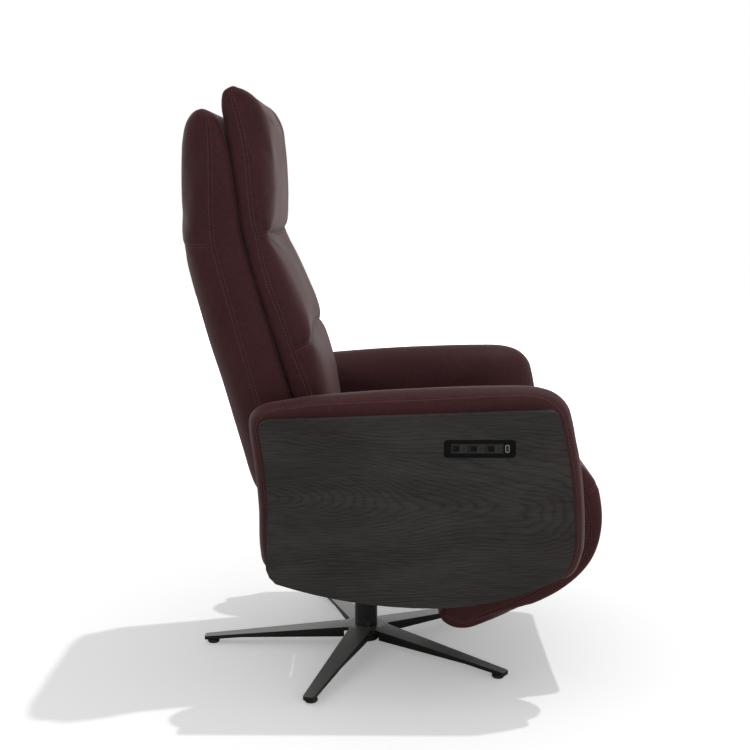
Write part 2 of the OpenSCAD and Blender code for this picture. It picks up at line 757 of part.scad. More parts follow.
module back_motor() {
    box_l = 52;
    color(black) difference() {
        union() {
            bar_y(motor_tube_d, gearbox_y + box_l - 1, motor_tube_end, 0, rod_z);
            block([-24, 24], [gearbox_y, gearbox_y + box_l], [rod_z - 23, rod_z + 23]);
            rod_x([gearbox_y + box_l / 2, rod_z], 44, 24, 148);
            rod_x([gearbox_y + box_l / 2, rod_z], 30, 148, 154);
            slab(bar([motor_front[0], rod_z], [gearbox_y + 2, rod_z], 22), -7, 7);
        }
        bar_y(rod_d + 2 * fit, gearbox_y + box_l, motor_tube_end + 1, 0, rod_z);
        rod_x(motor_front, 10.1, -8, 8, 32);
    }
}

// Two cheeks under the front rail hold the motor's tail pin
module motor_bracket() {
    root = [rail_front + 25, (rail_bottom + rail_top) / 2];
    cheek = concat(arc(motor_front, 12, 180, 330, 6), [root + [32, 10], root + [0, 15], root + [0, -15]]);
    color(steel) {
        for (s = [0, 1]) mirror([s, 0, 0]) difference() {
            slab(cheek, 7.5, 11.5);
            rod_x(motor_front, 10, 7, 12, 32);
        }
        rod_x(motor_front, 9.98, -14, 14, 32);
    }
}

module control_box() {
    y0 = -110;
    y1 = 30;
    x0 = 50;
    x1 = 150;
    z = z0 + plate_h;
    color([0.12, 0.12, 0.12]) difference() {
        union() {
            block([x0, x1], [y0, y1], [z, z + 36]);
            for (i = [0:7]) block([x0 + 10 + i * 11, x0 + 14 + i * 11], [y0 + 15, y1 - 15], [z + 36, z + 40]);
        }
        slab([[y1 - 18, z + 8], [y1 + 1, z + 8], [y1 + 1, z + 26], [y1 - 18, z + 26]], x0 + 60, x0 + 84);
    }
    color(steel) for (s = [-5, 0, 5]) block([x0 + 71 + s, x0 + 73 + s], [y1 - 18, y1 - 4], [z + 15, z + 19]);
}

// A rod end with an upright slot, in which the lever pin rises and falls as the back reclines
module motor_rod() {
    head = [rod_end_y, rod_z];
    low = head + [0, -slot_h];
    slot_d = lever_pin_d + 0.9;
    color(steel) {
        bar_y(rod_d, gearbox_y + 60 + stroke, rod_end_y - 15, 0, rod_z);
        difference() {
            slab(concat(arc(head, 15, 0, 180, 8), arc(low, 15, 180, 360, 8)), -6, 6);
            slab(concat(arc(head, slot_d / 2, 0, 180, 16), arc(low, slot_d / 2, 180, 360, 16)), -7, 7);
        }
    }
}

// Back frame

tube_b = [-6, 24]; // the side tubes' reach across the back's thickness
cross_b = (tube_b[0] + tube_b[1]) / 2;
back_boss_d = pin_d + 16;
top_tube_a = back_len - head_ball - 40;
cross_d = 25;
cross_as = [45, top_tube_a / 2 + 20, top_tube_a - 32];
function back_box(a0, a1, b0, b1) = [back_at(a0, b1), back_at(a0, b0), back_at(a1, b0), back_at(a1, b1)];

module back_side_tubes() {
    color(steel) both_sides() difference() {
        union() {
            difference() {
                slab(back_box(-12, top_tube_a + 14, tube_b[0], tube_b[1]), tube_in, tube_in + tube_w);
                slab(back_box(-13, top_tube_a + 15, tube_b[0] + wall, tube_b[1] - wall), tube_in + wall,
                    tube_in + tube_w - wall);
            }
            rod_x(back_pivot, back_boss_d, tube_in, tube_in + tube_w + 2);
        }
        rod_x(back_pivot, pin_d + 5, tube_in - 1, hw);
    }
}

module back_cross_tubes() {
    color(steel) for (a = cross_as)
        ring_x(back_at(a, cross_b), cross_d, cross_d - 2 * wall, -tube_in, tube_in);
}

module back_bushes() {
    color("white") both_sides() ring_x(back_pivot, pin_d + 4.96, pin_d - 0.02 + 2 * fit, tube_in,
        tube_in + tube_w + 2);
}

lever_root = back_at(cross_as[0], cross_b);
lever_at = [rod_end_y, rod_z];
lever_in = rod_d / 2 + 0.5;
lever_t = 6;

module back_lever() {
    color(black) both_sides() difference() {
        slab(bar(lever_at, lever_root, 32), lever_in, lever_in + lever_t);
        rod_x(lever_root, cross_d + 0.04, lever_in - 1, lever_in + lever_t + 1);
        rod_x(lever_at, lever_pin_d, lever_in - 1, lever_in + lever_t + 1);
    }
}

module lever_pin() {
    color(steel) {
        end = lever_in + lever_t;
        rod_x(lever_at, lever_pin_d - 0.02, -end - 3, end);
        rod_x(lever_at, lever_pin_d + 6, end, end + 2.5);
        rod_x(lever_at, lever_pin_d + 4, -end - 1.5, -end);
    }
}

web_w = 44; // width of one strap
web_pitch = 58;
web_t = 1.6;

module back_webbing() {
    color([0.1, 0.1, 0.1]) for (i = [0:4]) let (a = cross_as[0] + web_w - 2 + i * web_pitch)
        slab(back_box(a - web_w / 2, a + web_w / 2, tube_b[1], tube_b[1] + web_t), -tube_in - 10, tube_in + 10);
}

// Back upholstery

rear_angle = -4; // direction of the fold between the rear shells, seen from the head pivot
line_down = 180 + 90 - lean; // direction of the frame line below the head pivot

turning_ends = [[head_pivot, head_ball + 2], [back_pivot, back_end_r + 1]];

// The hollow that the rounded lower end of the head turns in
function head_hollow(a0, a1, n) = arc(head_pivot, head_ball + soft_gap, a0, a1, n);
function back_end(a0, a1, n) = arc(back_pivot, back_end_r, a0, a1, n);
shell_b = -shell_t;
shell_edge = 16; // rounding of the rear shells along their sides
front_edge = 20; // and of the front cushions
fold = head_pivot + (shell_t + frame_b - 1) * [cos(rear_angle), sin(rear_angle)];
line_low = sqrt(back_end_r * back_end_r - frame_b * frame_b);
line_end = back_at(-line_low, frame_b) - back_pivot;
a_line = atan2(line_end[1], line_end[0]); // direction of the frame line's lower end, seen from the pivot

module back_shell() {
    outline = concat(
        back_end(a_line, a_line + 76, 6),
        bend(back_at(10, shell_b - 8), back_at(60, shell_b - 1), back_at(140, shell_b), 3),
        [back_at(back_len * 0.6, shell_b), back_at(back_len - 60, shell_b + 2)],
        bend(back_at(back_len - 20, shell_b + 3), fold + [0, -12], fold + [0, -seat_gap], 3),
        head_hollow(rear_angle, line_down - 360, 6),
        [for (a = [300, 180, 60]) back_at(a, frame_b - seat_gap)]);
    color(leather) difference() {
        padding(outline, hw + trim, shell_edge, crown = 6, lit = -out, turning = turning_ends);
        both_sides() beyond(hw);
        slab(back_box(-18, top_tube_a + 20, shell_b + 30, frame_b + 1), -hw + 24, hw - 24);
        both_sides() rod_x(back_pivot, pin_d + 2, hw - 60, hw + 1);
        slab(back_box(-120, 0, shell_b - 20, frame_b + 1), -22, 22);
        both_sides() slab(bar(head_pivot, ear_root, ear_w + 2), ear_in - seat_gap, ear_out + seat_gap);
    }
}

crease_a = 239;
lip_angle = 186; // direction of the middle cushion's upper lip, seen from the head pivot

module lumbar_cushion() {
    f = frame_b + front_t;
    lip = head_pivot + (head_ball + soft_gap) * [cos(lip_angle), sin(lip_angle)];
    outline = concat(
        [back_at(crease_a + 1, frame_b), back_at(300, frame_b)],
        head_hollow(line_down, lip_angle, 7),
        [lip + [-3, -3]],
        bend(lip + [-6, -10], back_at(back_len - 60, f + 8), back_at(crease_a + 110, f + bulge - 3), 3),
        bend(back_at(crease_a + 60, f + bulge + 1), back_at(crease_a + 16, f + bulge + 1),
            back_at(crease_a + 2, f - 2), 5),
        [back_at(crease_a + 1, f - 14)]);
    color(leather)
        padding(outline, hw, front_edge, crown = 4, lit = out, draw = 4, along = up, turning = turning_ends);
}

module lower_back_cushion() {
    f = frame_b + front_t;
    outline = concat(
        [back_at(crease_a - 60, frame_b), back_at(crease_a, frame_b), back_at(crease_a, f - 14)],
        bend(back_at(crease_a - 1, f - 2), back_at(crease_a - 14, f + bulge - 4),
            back_at(crease_a - 60, f + bulge - 3), 4),
        bend(back_at(crease_a - 100, f + bulge), back_at(70, f + bulge), back_at(22, back_end_r - 3), 4),
        back_end(173, a_line + 360, 7),
        [back_at(40, frame_b)]);
    color(leather) difference() {
        padding(outline, hw, front_edge, crown = 4, lit = out, draw = 4, along = up, turning = turning_ends);
        slab(back_box(-120, -25, frame_b - 1, back_end_r + 10), -22, 22);
    }
}

// Head rest

ear_out = tube_in;
ear_in = ear_out - 8;
ear_w = 28;
ear_root = back_at(top_tube_a, 2);
head_tube_end = ear_in - 2;
head_bore = head_tube_d - 5;
head_travel = 20;
shaft_d = 12; // output shafts of the motors inside the head and leg rest tubes

module head_ears() {
    color(black) both_sides() difference() {
        slab(bar(head_pivot, ear_root, ear_w), ear_in, ear_out);
        rod_x(head_pivot, pin_d, ear_in - 1, ear_out + 1);
    }
}

module head_pivot_pin() {
    color(steel) rod_x(head_pivot, pin_d - 0.02, head_tube_end - 22, ear_out);
}

// A motor inside the hinge tube: its tail is held by the ear, its far end turns the tube
module head_motor() {
    color([0.2, 0.2, 0.2]) {
        difference() {
            rod_x(head_pivot, head_bore - 3, -head_tube_end + 24, 90);
            rod_x(head_pivot, shaft_d + 2 * fit, 80, 91);
        }
        rod_x(head_pivot, pin_d - 0.02, -ear_out, -head_tube_end + 24);
    }
}

module head_hinge_tube() {
    color(steel) ring_x(head_pivot, head_tube_d, head_bore, -head_tube_end, head_tube_end);
}

module head_bushes() {
    color("white") {
        both_sides() ring_x(head_pivot, head_bore - 0.04, pin_d - 0.02 + 2 * fit,
            head_tube_end - 20, head_tube_end);
        rod_x(head_pivot, head_bore - 0.04, 91, 103);
        rod_x(head_pivot, shaft_d, 81, 91);
    }
}

upright_x = [130, 142];
upright_top = head_h - 95;

module head_uprights() {
    color(steel) both_sides() difference() {
        slab([head_at(0, 12), head_at(0, -22), head_at(upright_top, -52), head_at(upright_top, -32),
            head_at(40, -8)], upright_x[0], upright_x[1]);
        rod_x(head_pivot, head_tube_d + 0.04, upright_x[0] - 1, upright_x[1] + 1);
        rod_x(head_at(upright_top - 14, -40), 16.04, upright_x[0] - 1, upright_x[1] + 1);
    }
}

module head_top_rail() {
    color(steel) rod_x(head_at(upright_top - 14, -40), 16, -upright_x[1] - 4, upright_x[1] + 4);
}

// The line on which the head's rear shell and cushion meet: the shell lies behind it
function head_line(a) = head_at(a, -0.115 * a - 0.0000009 * a * a * a);
notch_a = head_h - 100;

// Slots for the ears, which stay with the back while the head tilts
module ear_slots() {
    ear = ear_root - head_pivot;
    a = atan2(ear[1], ear[0]);
    b = a - head_travel;
    r = ear_w / 2 + 1.5;
    far = head_ball + 20;
    both_sides() slab(concat(arc(head_pivot, r, a + 90, b + 270, 8),
        [head_pivot + far * [cos(b), sin(b)] + r * [cos(b - 90), sin(b - 90)],
        head_pivot + far * [cos(a), sin(a)] + r * [cos(a + 90), sin(a + 90)]]), ear_in - 1, ear_out + 1);
}

module head_hardware_room() {
    rod_x(head_pivot, head_tube_d + 1, -ear_out - 1, ear_out + 1);
    ear_slots();
}

module head_shell() {
    top = head_h - 41;
    rear = shell_b - frame_b + 1;
    outline = concat(
        arc(head_pivot, head_ball, line_down - 360, rear_angle, 6),
        bend(fold + [0, seat_gap], fold + [1, 20], head_at(60, rear), 2),
        [head_at(120, rear)],
        bend(head_at(170, rear + 3), head_at(top + 3, rear + 4), head_at(top, rear + 42), 6),
        bend(head_at(top - 3, rear + 56), head_at(notch_a + 40, rear + 76),
            head_line(notch_a) + [seat_gap, 0], 4),
        [for (a = [150, 90, 30]) head_line(a) + [seat_gap, 0]],
        [head_pivot + [seat_gap, 0]]);
    color(leather) difference() {
        padding(outline, hw, shell_edge, crown = 5, lit = [1, 0], turning = turning_ends);
        slab([head_at(-14, 1), head_at(-14, -30), head_at(upright_top + 6, -56),
            head_at(upright_top + 6, -12), head_at(20, 1)], -upright_x[1] - 8, upright_x[1] + 8);
        head_hardware_room();
    }
}

module head_cushion() {
    f = front_t;
    outline = concat(
        reverse_points([for (a = [0, 30, 90, 150, notch_a]) head_line(a)]),
        arc(head_pivot, head_ball, line_down, lip_angle - head_travel - 0.5, 8),
        bend(head_at(40, f - 1), head_at(90, f), head_at(150, f - 8), 3),
        bend(head_at(180, f - 13), head_at(head_h - 35, f - 27), head_at(head_h - 8, f - 50), 4),
        bend(head_at(head_h, f - 62), head_at(head_h + 4, -24), head_at(head_h - 22, -32), 4),
        [head_at(head_h - 43, -35)]);
    color(leather) difference() {
        padding(reverse_points(outline), hw, front_edge, crown = 4, lit = [-1, 0], draw = 4,
            along = [0, 1], turning = turning_ends);
        head_hardware_room();
        both_sides() slab([head_at(-14, 13), head_at(-14, -30), head_at(70, -10), head_at(30, 13)],
            upright_x[0] - 0.5, upright_x[1] + 0.5);
    }
}

// Leg rest

leg_angle = -44; // direction of the leg rest's chord at rest
chord = [cos(leg_angle), sin(leg_angle)];
deep = [sin(leg_angle), -cos(leg_angle)];
function leg_at(s, m) = leg_pivot + s * chord + m * deep;
board_m = 2; // outer face of the leg board
torque_bore = torque_d - 5;
torque_end = hw - 31;
tip_c = leg_at(leg_len - leg_tip_t / 2, board_m - board_t - 2 + leg_tip_t / 2);
bend_c = leg_pivot + [leg_bend_r - 70, -55];
leg_slope_a = -22.5;

module leg_torque_tube() {
    color(steel) ring_x(leg_pivot, torque_d, torque_bore, -torque_end, torque_end);
}

module leg_bushes() {
    color("white") {
        both_sides() ring_x(leg_pivot, torque_bore - 0.04, pin_d - 0.02 + 2 * fit,
            torque_end - 24, torque_end);
        rod_x(leg_pivot, torque_bore - 0.04, 71, 89);
        rod_x(leg_pivot, shaft_d, 59, 71);
    }
}

// A motor inside the torque tube: its tail is held by the right hinge plate
module leg_motor() {
    color([0.2, 0.2, 0.2]) {
        difference() {
            rod_x(leg_pivot, torque_bore - 3, -torque_end + 28, 70);
            rod_x(leg_pivot, shaft_d + 2 * fit, 58, 71);
        }
        rod_x(leg_pivot, pin_d - 0.02, -plate_out, -torque_end + 28);
        rod_x(leg_pivot, pin_d + 6, -plate_out - 2.5, -plate_out);
    }
}

leg_arm_x = [130, 166];

module leg_arms() {
    m1 = board_m - board_t;
    color(steel) both_sides() difference() {
        slab([leg_at(0, m1 - 6), leg_at(leg_len * 0.74, m1 - 6), leg_at(leg_len * 0.74, m1), leg_at(0, m1)],
            leg_arm_x[0], leg_arm_x[1]);
        rod_x(leg_pivot, torque_d + 0.04, leg_arm_x[0] - 1, leg_arm_x[1] + 1);
    }
}

module leg_board() {
    m1 = board_m - board_t;
    color(ply) slab([leg_at(42, m1), leg_at(leg_len - 28, m1), leg_at(leg_len - 28, board_m),
        leg_at(42, board_m)], -hw + 22, hw - 22);
}

module leg_pad() {
    m1 = board_m - board_t;
    bend_end = bend_c + leg_bend_r * [cos(270 + leg_slope_a), sin(270 + leg_slope_a)];
    inner = leg_at(60, m1 - 1);
    outline = concat(
        arc(leg_pivot, roll_r, 60, 94, 3),
        bend(leg_pivot + [-20, roll_r - 3.5], leg_pivot + [-43, 60], leg_pivot + [-58, 30], 4),
        bend(leg_pivot + [-62, 18], leg_pivot + [-68, 2], leg_pivot + [-70, -26], 3),
        arc(bend_c, leg_bend_r, 180, 270 + leg_slope_a, 8),
        arc(tip_c, leg_tip_t / 2, 270 + leg_slope_a, 360 + 46, 7),
        [leg_at(leg_len - 100, m1 - 2), leg_at(160, m1 - 2), inner]);
    color(leather) difference() {
        padding(outline, hw, front_edge, crown = 5, lit = deep, draw = 3, along = chord,
            turning = [[leg_pivot, roll_r + 1]]);
        rod_x(leg_pivot, torque_d + 1, -torque_end - 1, torque_end + 1);
        both_sides() rod_x(leg_pivot, pin_d + 3, torque_end, hw + 1);
        slab([leg_at(41, m1 - 3), leg_at(leg_len - 27, m1 - 3), leg_at(leg_len - 27, board_m + seat_gap),
            leg_at(41, board_m + seat_gap)], -hw + 21, hw - 21);
        both_sides() slab([leg_at(0, m1 - 30), leg_at(60, m1 - 30), leg_at(60, m1 + 1), leg_at(0, m1 + 1)],
            leg_arm_x[0] - 1, leg_arm_x[1] + 1);
    }
}

star_base();
base_glides();
column_tube();
swivel_bushes();
thrust_bearing_lower();
thrust_bearing_upper();
swivel_spindle();
spindle_washer();
swivel_plate();
plate_bolts();
arm_brackets();
seat_side_rails();
seat_cross_rails();
hinge_plates();
back_pivot_pins();
leg_pivot_pin();
seat_springs();
seat_cushion();
arm_board_left();
arm_board_right();
arm_pad_left();
arm_pad_right();
side_panel_left();
side_panel_right();
panel_screws();
switch_plate();
switch_housing();
usb_socket();
rocker_back();
rocker_legs();
rocker_head();
control_box();
back_motor();
motor_bracket();
leg_motor();
motor_rod();
back_side_tubes();
back_cross_tubes();
back_bushes();
back_lever();
lever_pin();
back_webbing();
back_shell();
lumbar_cushion();
lower_back_cushion();
head_ears();
head_pivot_pin();
head_motor();
head_hinge_tube();
head_bushes();
head_uprights();
head_top_rail();
head_shell();
head_cushion();
leg_torque_tube();
leg_bushes();
leg_arms();
leg_board();
leg_pad();
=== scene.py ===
# %% [markdown]
# # A motor recliner in leather and oak
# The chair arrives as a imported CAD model: every rail, pin and motor already has its exact shape and place.
# Blender adds what CAD is poor at: leather that is stretched over foam, stitched seams, stained oak, and
# metal and plastic finishes. Each cell below makes one thing and prints what it made.

# %% Load the frame
import json
import math

import bpy
import numpy as np
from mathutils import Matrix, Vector


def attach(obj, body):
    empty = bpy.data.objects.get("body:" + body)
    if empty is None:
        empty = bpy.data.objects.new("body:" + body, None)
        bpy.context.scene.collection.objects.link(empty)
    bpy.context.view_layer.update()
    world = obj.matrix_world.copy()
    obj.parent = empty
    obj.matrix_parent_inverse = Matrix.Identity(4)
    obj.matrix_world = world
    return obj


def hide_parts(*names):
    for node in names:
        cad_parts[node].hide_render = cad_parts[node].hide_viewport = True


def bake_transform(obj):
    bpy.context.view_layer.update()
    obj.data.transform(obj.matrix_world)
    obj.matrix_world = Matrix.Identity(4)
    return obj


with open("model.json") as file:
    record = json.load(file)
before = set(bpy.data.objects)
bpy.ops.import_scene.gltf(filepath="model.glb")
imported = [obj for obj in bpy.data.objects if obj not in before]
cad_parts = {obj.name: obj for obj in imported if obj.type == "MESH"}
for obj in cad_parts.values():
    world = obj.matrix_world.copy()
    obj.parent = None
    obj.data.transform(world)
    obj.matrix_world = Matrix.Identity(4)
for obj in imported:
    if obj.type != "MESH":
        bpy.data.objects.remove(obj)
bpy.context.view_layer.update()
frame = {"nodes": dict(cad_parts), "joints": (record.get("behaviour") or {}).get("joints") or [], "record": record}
MM = 0.001
scene = bpy.context.scene
scene.view_settings.view_transform = "Standard"
pivots = {j["name"]: np.array(j.get("pos_m", (0, 0, 0)), float) for j in frame["joints"]}

# %% [markdown]
# ## The camera
# The photograph was taken from the chair's right, a little above the arms. A camera was fitted to the five
# glides and the column: 2.6 m away, 8.6 degrees down, with a lens of about 59 mm on a 36 mm sensor.

# %% Camera
photo_size = 750
focal_pixels = 1226.5
yaw, pitch = 0.0031, 0.1497
looking = Vector((math.cos(pitch) * math.cos(yaw), math.cos(pitch) * math.sin(yaw), -math.sin(pitch)))
camera = bpy.data.objects.new("camera", bpy.data.cameras.new("camera"))
camera.data.sensor_width = 36
camera.data.lens = camera.data.sensor_width * focal_pixels / photo_size
camera.location = (-2.619, -0.028, 0.997)
camera.rotation_euler = looking.to_track_quat("-Z", "Y").to_euler()
scene.collection.objects.link(camera)
scene.camera = camera
print("lens", round(camera.data.lens, 1), "mm")

# %% [markdown]
# ## Node and colour helpers
# One function adds a shader node with its settings and links, and one turns a colour written as in a paint
# chart (sRGB hex) into the linear light that Blender computes with.


# %% Helpers for materials
def linear(code):
    """sRGB to linear: below 0.04045 divide by 12.92, else ((c + 0.055) / 1.055) to the power 2.4."""
    c = np.array([int(code[i:i + 2], 16) for i in (1, 3, 5)]) / 255
    return (*np.where(c <= 0.04045, c / 12.92, ((c + 0.055) / 1.055) ** 2.4), 1.0)


def add(tree, kind, inputs=None, **settings):
    """Adds a node. inputs gives a number, colour or another node's output for each named socket."""
    made = tree.nodes.new("ShaderNode" + kind)
    for name, value in settings.items():
        setattr(made, name, value)
    for name, value in (inputs or {}).items():
        socket = made.inputs[name]
        if isinstance(value, bpy.types.NodeSocket):
            tree.links.new(value, socket)
        else:
            socket.default_value = value
    return made


def ramp(tree, source, stops):
    """A colour ramp over source, with stops of (place, colour as hex or grey level)."""
    made = add(tree, "ValToRGB", {"Fac": source})
    line = made.color_ramp
    while len(line.elements) < len(stops):
        line.elements.new(1.0)
    for element, (place, colour) in zip(line.elements, stops):
        element.position = place
        element.color = linear(colour) if isinstance(colour, str) else (colour, colour, colour, 1.0)
    return made.outputs["Color"]


def finish_material(name, roughness=0.5, metallic=0.0, colour=None, **sockets):
    """A new material with its Principled shader; returns (material, tree, shader)."""
    material = bpy.data.materials.new(name)
    material.use_nodes = True
    tree = material.node_tree
    shader = tree.nodes["Principled BSDF"]
    shader.inputs["Roughness"].default_value = roughness
    shader.inputs["Metallic"].default_value = metallic
    if colour:
        shader.inputs["Base Color"].default_value = linear(colour)
        material.diffuse_color = linear(colour)
    for key, value in sockets.items():
        shader.inputs[key.replace("_", " ")].default_value = value
    return material, tree, shader


def bumped(tree, shader, height, depth_mm, after=None):
    """Raises the surface by height (0 to 1) times depth_mm."""
    inputs = {"Height": height, "Strength": 1.0, "Distance": depth_mm * MM}
    if after:
        inputs["Normal"] = after
    made = add(tree, "Bump", inputs)
    tree.links.new(made.outputs["Normal"], shader.inputs["Normal"])
    return made.outputs["Normal"]


def noise(tree, where, size_mm, detail=2.0, roughness=0.5, distortion=0.0):
    """Soft noise whose blobs are about size_mm across."""
    return add(tree, "TexNoise", {"Vector": where, "Scale": 1 / (size_mm * MM), "Detail": detail,
                                  "Roughness": roughness, "Distortion": distortion}).outputs["Fac"]


def stretched(tree, factors):
    """Object coordinates, in metres, multiplied along X, Y and Z."""
    place = add(tree, "TexCoord").outputs["Object"]
    return add(tree, "Mapping", {"Vector": place, "Scale": factors}).outputs["Vector"]


print("material helpers ready; mid grey is", round(float(linear("#808080")[0]), 3), "in linear light")

# %% [markdown]
# ## Leather
# Upholstery leather is a hide that is dyed through and finished with a thin satin coat. Its pebble grain is
# about 1 mm across, too fine for this view, so it is drawn at 2.4 mm. Slow patches in the dye and small
# changes of gloss, where hands and backs have polished it, keep it from looking like vinyl. A weak sheen
# lightens it where it is seen at a slant.

# %% Leather
def leather(name, dark, light):
    """Burgundy aniline leather: two close tones mixed by slow noise, cells for the pebble grain."""
    material, tree, shader = finish_material(name, roughness=0.54, colour=dark, Specular_IOR_Level=0.08,
                                             Sheen_Weight=0.16, Sheen_Roughness=0.35,
                                             Sheen_Tint=linear("#f0d8d2"))
    place = add(tree, "TexCoord").outputs["Object"]
    patches = noise(tree, place, 95, detail=3.0)
    mottle = noise(tree, place, 7, detail=2.0)
    both = add(tree, "Math", {0: patches, 1: mottle}, operation="ADD").outputs[0]
    tone = ramp(tree, add(tree, "Math", {0: both, 1: 0.5}, operation="MULTIPLY").outputs[0],
                [(0.38, dark), (0.62, light)])
    tree.links.new(tone, shader.inputs["Base Color"])
    gloss = add(tree, "MapRange", {"Value": patches, "From Min": 0.35, "From Max": 0.65, "To Min": 0.50,
                                   "To Max": 0.58}).outputs["Result"]
    tree.links.new(gloss, shader.inputs["Roughness"])
    cells = add(tree, "TexVoronoi", {"Vector": place, "Scale": 1 / (2.4 * MM)}).outputs["Distance"]
    folds = noise(tree, place, 16, detail=4.0, roughness=0.6)
    first = bumped(tree, shader, cells, 0.10)
    bumped(tree, shader, folds, 0.35, after=first)
    return material


burgundy_leather = leather("burgundy_aniline_leather", "#3c2022", "#452627")
print("leather made")

# %% [markdown]
# ## Oak
# The side panels are veneered with flat-sawn oak, stained almost black. Such a board cuts the tree's rings
# beside the heart, and the heart runs away from the board at a small slope. So a ring shows where the
# distance to the heart is a whole number of ring widths, which draws long tongues that lie inside each
# other. Slow noise bends them, and pores are short dark dashes on top.

# %% Oak
def oak(name, ring_mm=4.6, heart_z=0.425):
    """Rings at r = sqrt(d^2 + (z - heart)^2) + noise, where d = 0.052 - 0.15 y, in metres, is the depth of
    the heart behind the board. A ring's tone goes with the fraction of r / ring width."""
    material, tree, shader = finish_material(name, roughness=0.6, colour="#2d2b27", Specular_IOR_Level=0.18)
    split = add(tree, "SeparateXYZ", {0: add(tree, "TexCoord").outputs["Object"]})
    y, z = split.outputs["Y"], split.outputs["Z"]
    depth = add(tree, "Math", {0: y, 1: -0.15, 2: 0.052}, operation="MULTIPLY_ADD").outputs[0]
    off = add(tree, "Math", {0: z, 1: heart_z}, operation="SUBTRACT").outputs[0]
    flat = add(tree, "CombineXYZ", {"X": depth, "Y": off}).outputs[0]
    reach = add(tree, "VectorMath", {0: flat}, operation="LENGTH").outputs["Value"]
    bends = ((170, 0.085, (3.0, 0.45, 1.3), 1.0), (30, 0.010, (1.0, 0.22, 1.0), 2.0))
    for size, much, squeeze, detail in bends:
        bend = noise(tree, stretched(tree, squeeze), size, detail=detail)
        reach = add(tree, "Math", {0: bend, 1: much, 2: reach}, operation="MULTIPLY_ADD").outputs[0]
    rings = add(tree, "Math", {0: reach, 1: 1 / (ring_mm * MM)}, operation="MULTIPLY").outputs[0]
    saw = add(tree, "Math", {0: rings}, operation="FRACT").outputs[0]
    ring_tone = ramp(tree, saw, [(0.0, 0.0), (0.14, 0.55), (0.60, 0.85), (0.86, 0.55), (1.0, 0.0)])
    pores = noise(tree, stretched(tree, (1.0, 0.05, 1.0)), 2.0, detail=3.0, roughness=0.7)
    pore_tone = ramp(tree, pores, [(0.40, 0.0), (0.58, 1.0)])
    patches = noise(tree, stretched(tree, (1.0, 0.25, 1.0)), 55, detail=2.0)
    level = add(tree, "Math", {0: pore_tone, 1: 0.34, 2: patches}, operation="MULTIPLY_ADD").outputs[0]
    level = add(tree, "Math", {0: ring_tone, 1: 0.45, 2: level}, operation="MULTIPLY_ADD").outputs[0]
    level = add(tree, "Math", {0: level, 1: 0.6}, operation="MULTIPLY").outputs[0]
    tone = ramp(tree, level, [(0.30, "#1b1a1a"), (0.42, "#252322"), (0.56, "#2e2c2a"), (0.74, "#383431")])
    tree.links.new(tone, shader.inputs["Base Color"])
    first = bumped(tree, shader, pore_tone, 0.12)
    bumped(tree, shader, ring_tone, 0.08, after=first)
    return material


dark_oak = oak("stained_flat_sawn_oak")
print("oak made")

# %% [markdown]
# ## One recipe for hard surfaces
# Paint, metal and moulded plastic all have one tone that varies a little from place to place, and so does
# their gloss. A flat colour would look like a drawing, and a picture of each surface would be a lot of data.
# So one function makes them all from soft noise, at the grain that each of them has.


# %% Speckled surfaces
def speckled(name, colour, grain_mm, depth_mm, roughness, metallic=0.0, stretch=(1, 1, 1), lighter=None,
             marks=(), **sockets):
    """A paint, metal or plastic whose tone and height vary by noise of grain_mm, drawn out by stretch. marks
    are (function that makes a mask, colour) pairs, laid over the tone one after another."""
    material, tree, shader = finish_material(name, roughness, metallic, colour, **sockets)
    grain = noise(tree, stretched(tree, stretch), grain_mm, detail=2.0)
    tone = ramp(tree, grain, [(0.3, colour), (0.7, lighter or colour)])
    for mask, mark in marks:
        tone = add(tree, "Mix", {0: mask(tree), 6: tone, 7: linear(mark)}, data_type="RGBA").outputs[2]
    tree.links.new(tone, shader.inputs["Base Color"])
    dull, duller = roughness * 0.85, min(1.0, roughness * 1.15)
    rough = add(tree, "MapRange", {"Value": grain, "To Min": dull, "To Max": duller})
    tree.links.new(rough.outputs["Result"], shader.inputs["Roughness"])
    bumped(tree, shader, grain, depth_mm)
    return material


print("recipe for hard surfaces ready")

# %% [markdown]
# ## Masks
# A mask is 1 where a second tone lies over the first. The rims of the switches, and the painted shade on the rear
# half of each rocker, are oblongs at known places in the side plane. On the star, the mask is 1 wherever the metal
# is steep: there a darker tone is painted as shade, and the flat top keeps the lighter tone, as if it catches the
# light.


# %% Masks
def oblong(y, z, half_y, half_z, rim=None):
    """A mask that is 1 inside an oblong in the side plane, in mm, or with rim only within rim mm outside it.
    It tests the distance max(|y - y0| - half_y, |z - z0| - half_z)."""
    def mask(tree):
        place = add(tree, "SeparateXYZ", {0: add(tree, "TexCoord").outputs["Object"]}).outputs
        gaps = []
        for axis, centre, half in (("Y", y, half_y), ("Z", z, half_z)):
            apart = add(tree, "Math", {0: place[axis], 1: centre * MM}, operation="SUBTRACT").outputs[0]
            away = add(tree, "Math", {0: apart}, operation="ABSOLUTE").outputs[0]
            gaps.append(add(tree, "Math", {0: away, 1: half * MM}, operation="SUBTRACT").outputs[0])
        far = add(tree, "Math", {0: gaps[0], 1: gaps[1]}, operation="MAXIMUM").outputs[0]
        if rim:
            far = add(tree, "Math", {0: far, 1: rim / 2 * MM}, operation="SUBTRACT").outputs[0]
            far = add(tree, "Math", {0: far}, operation="ABSOLUTE").outputs[0]
        return add(tree, "Math", {0: far, 1: (rim or 0) / 2 * MM}, operation="LESS_THAN").outputs[0]
    return mask


def steep_shade(tree):
    """A mask of painted shade on the star's flanks: 1 on faces that are more upright than 45 degrees, or face
    down.
    """
    up = add(tree, "SeparateXYZ", {0: add(tree, "TexCoord").outputs["Normal"]}).outputs["Z"]
    return add(tree, "Math", {0: up, 1: 0.7}, operation="LESS_THAN").outputs[0]


print("masks ready")
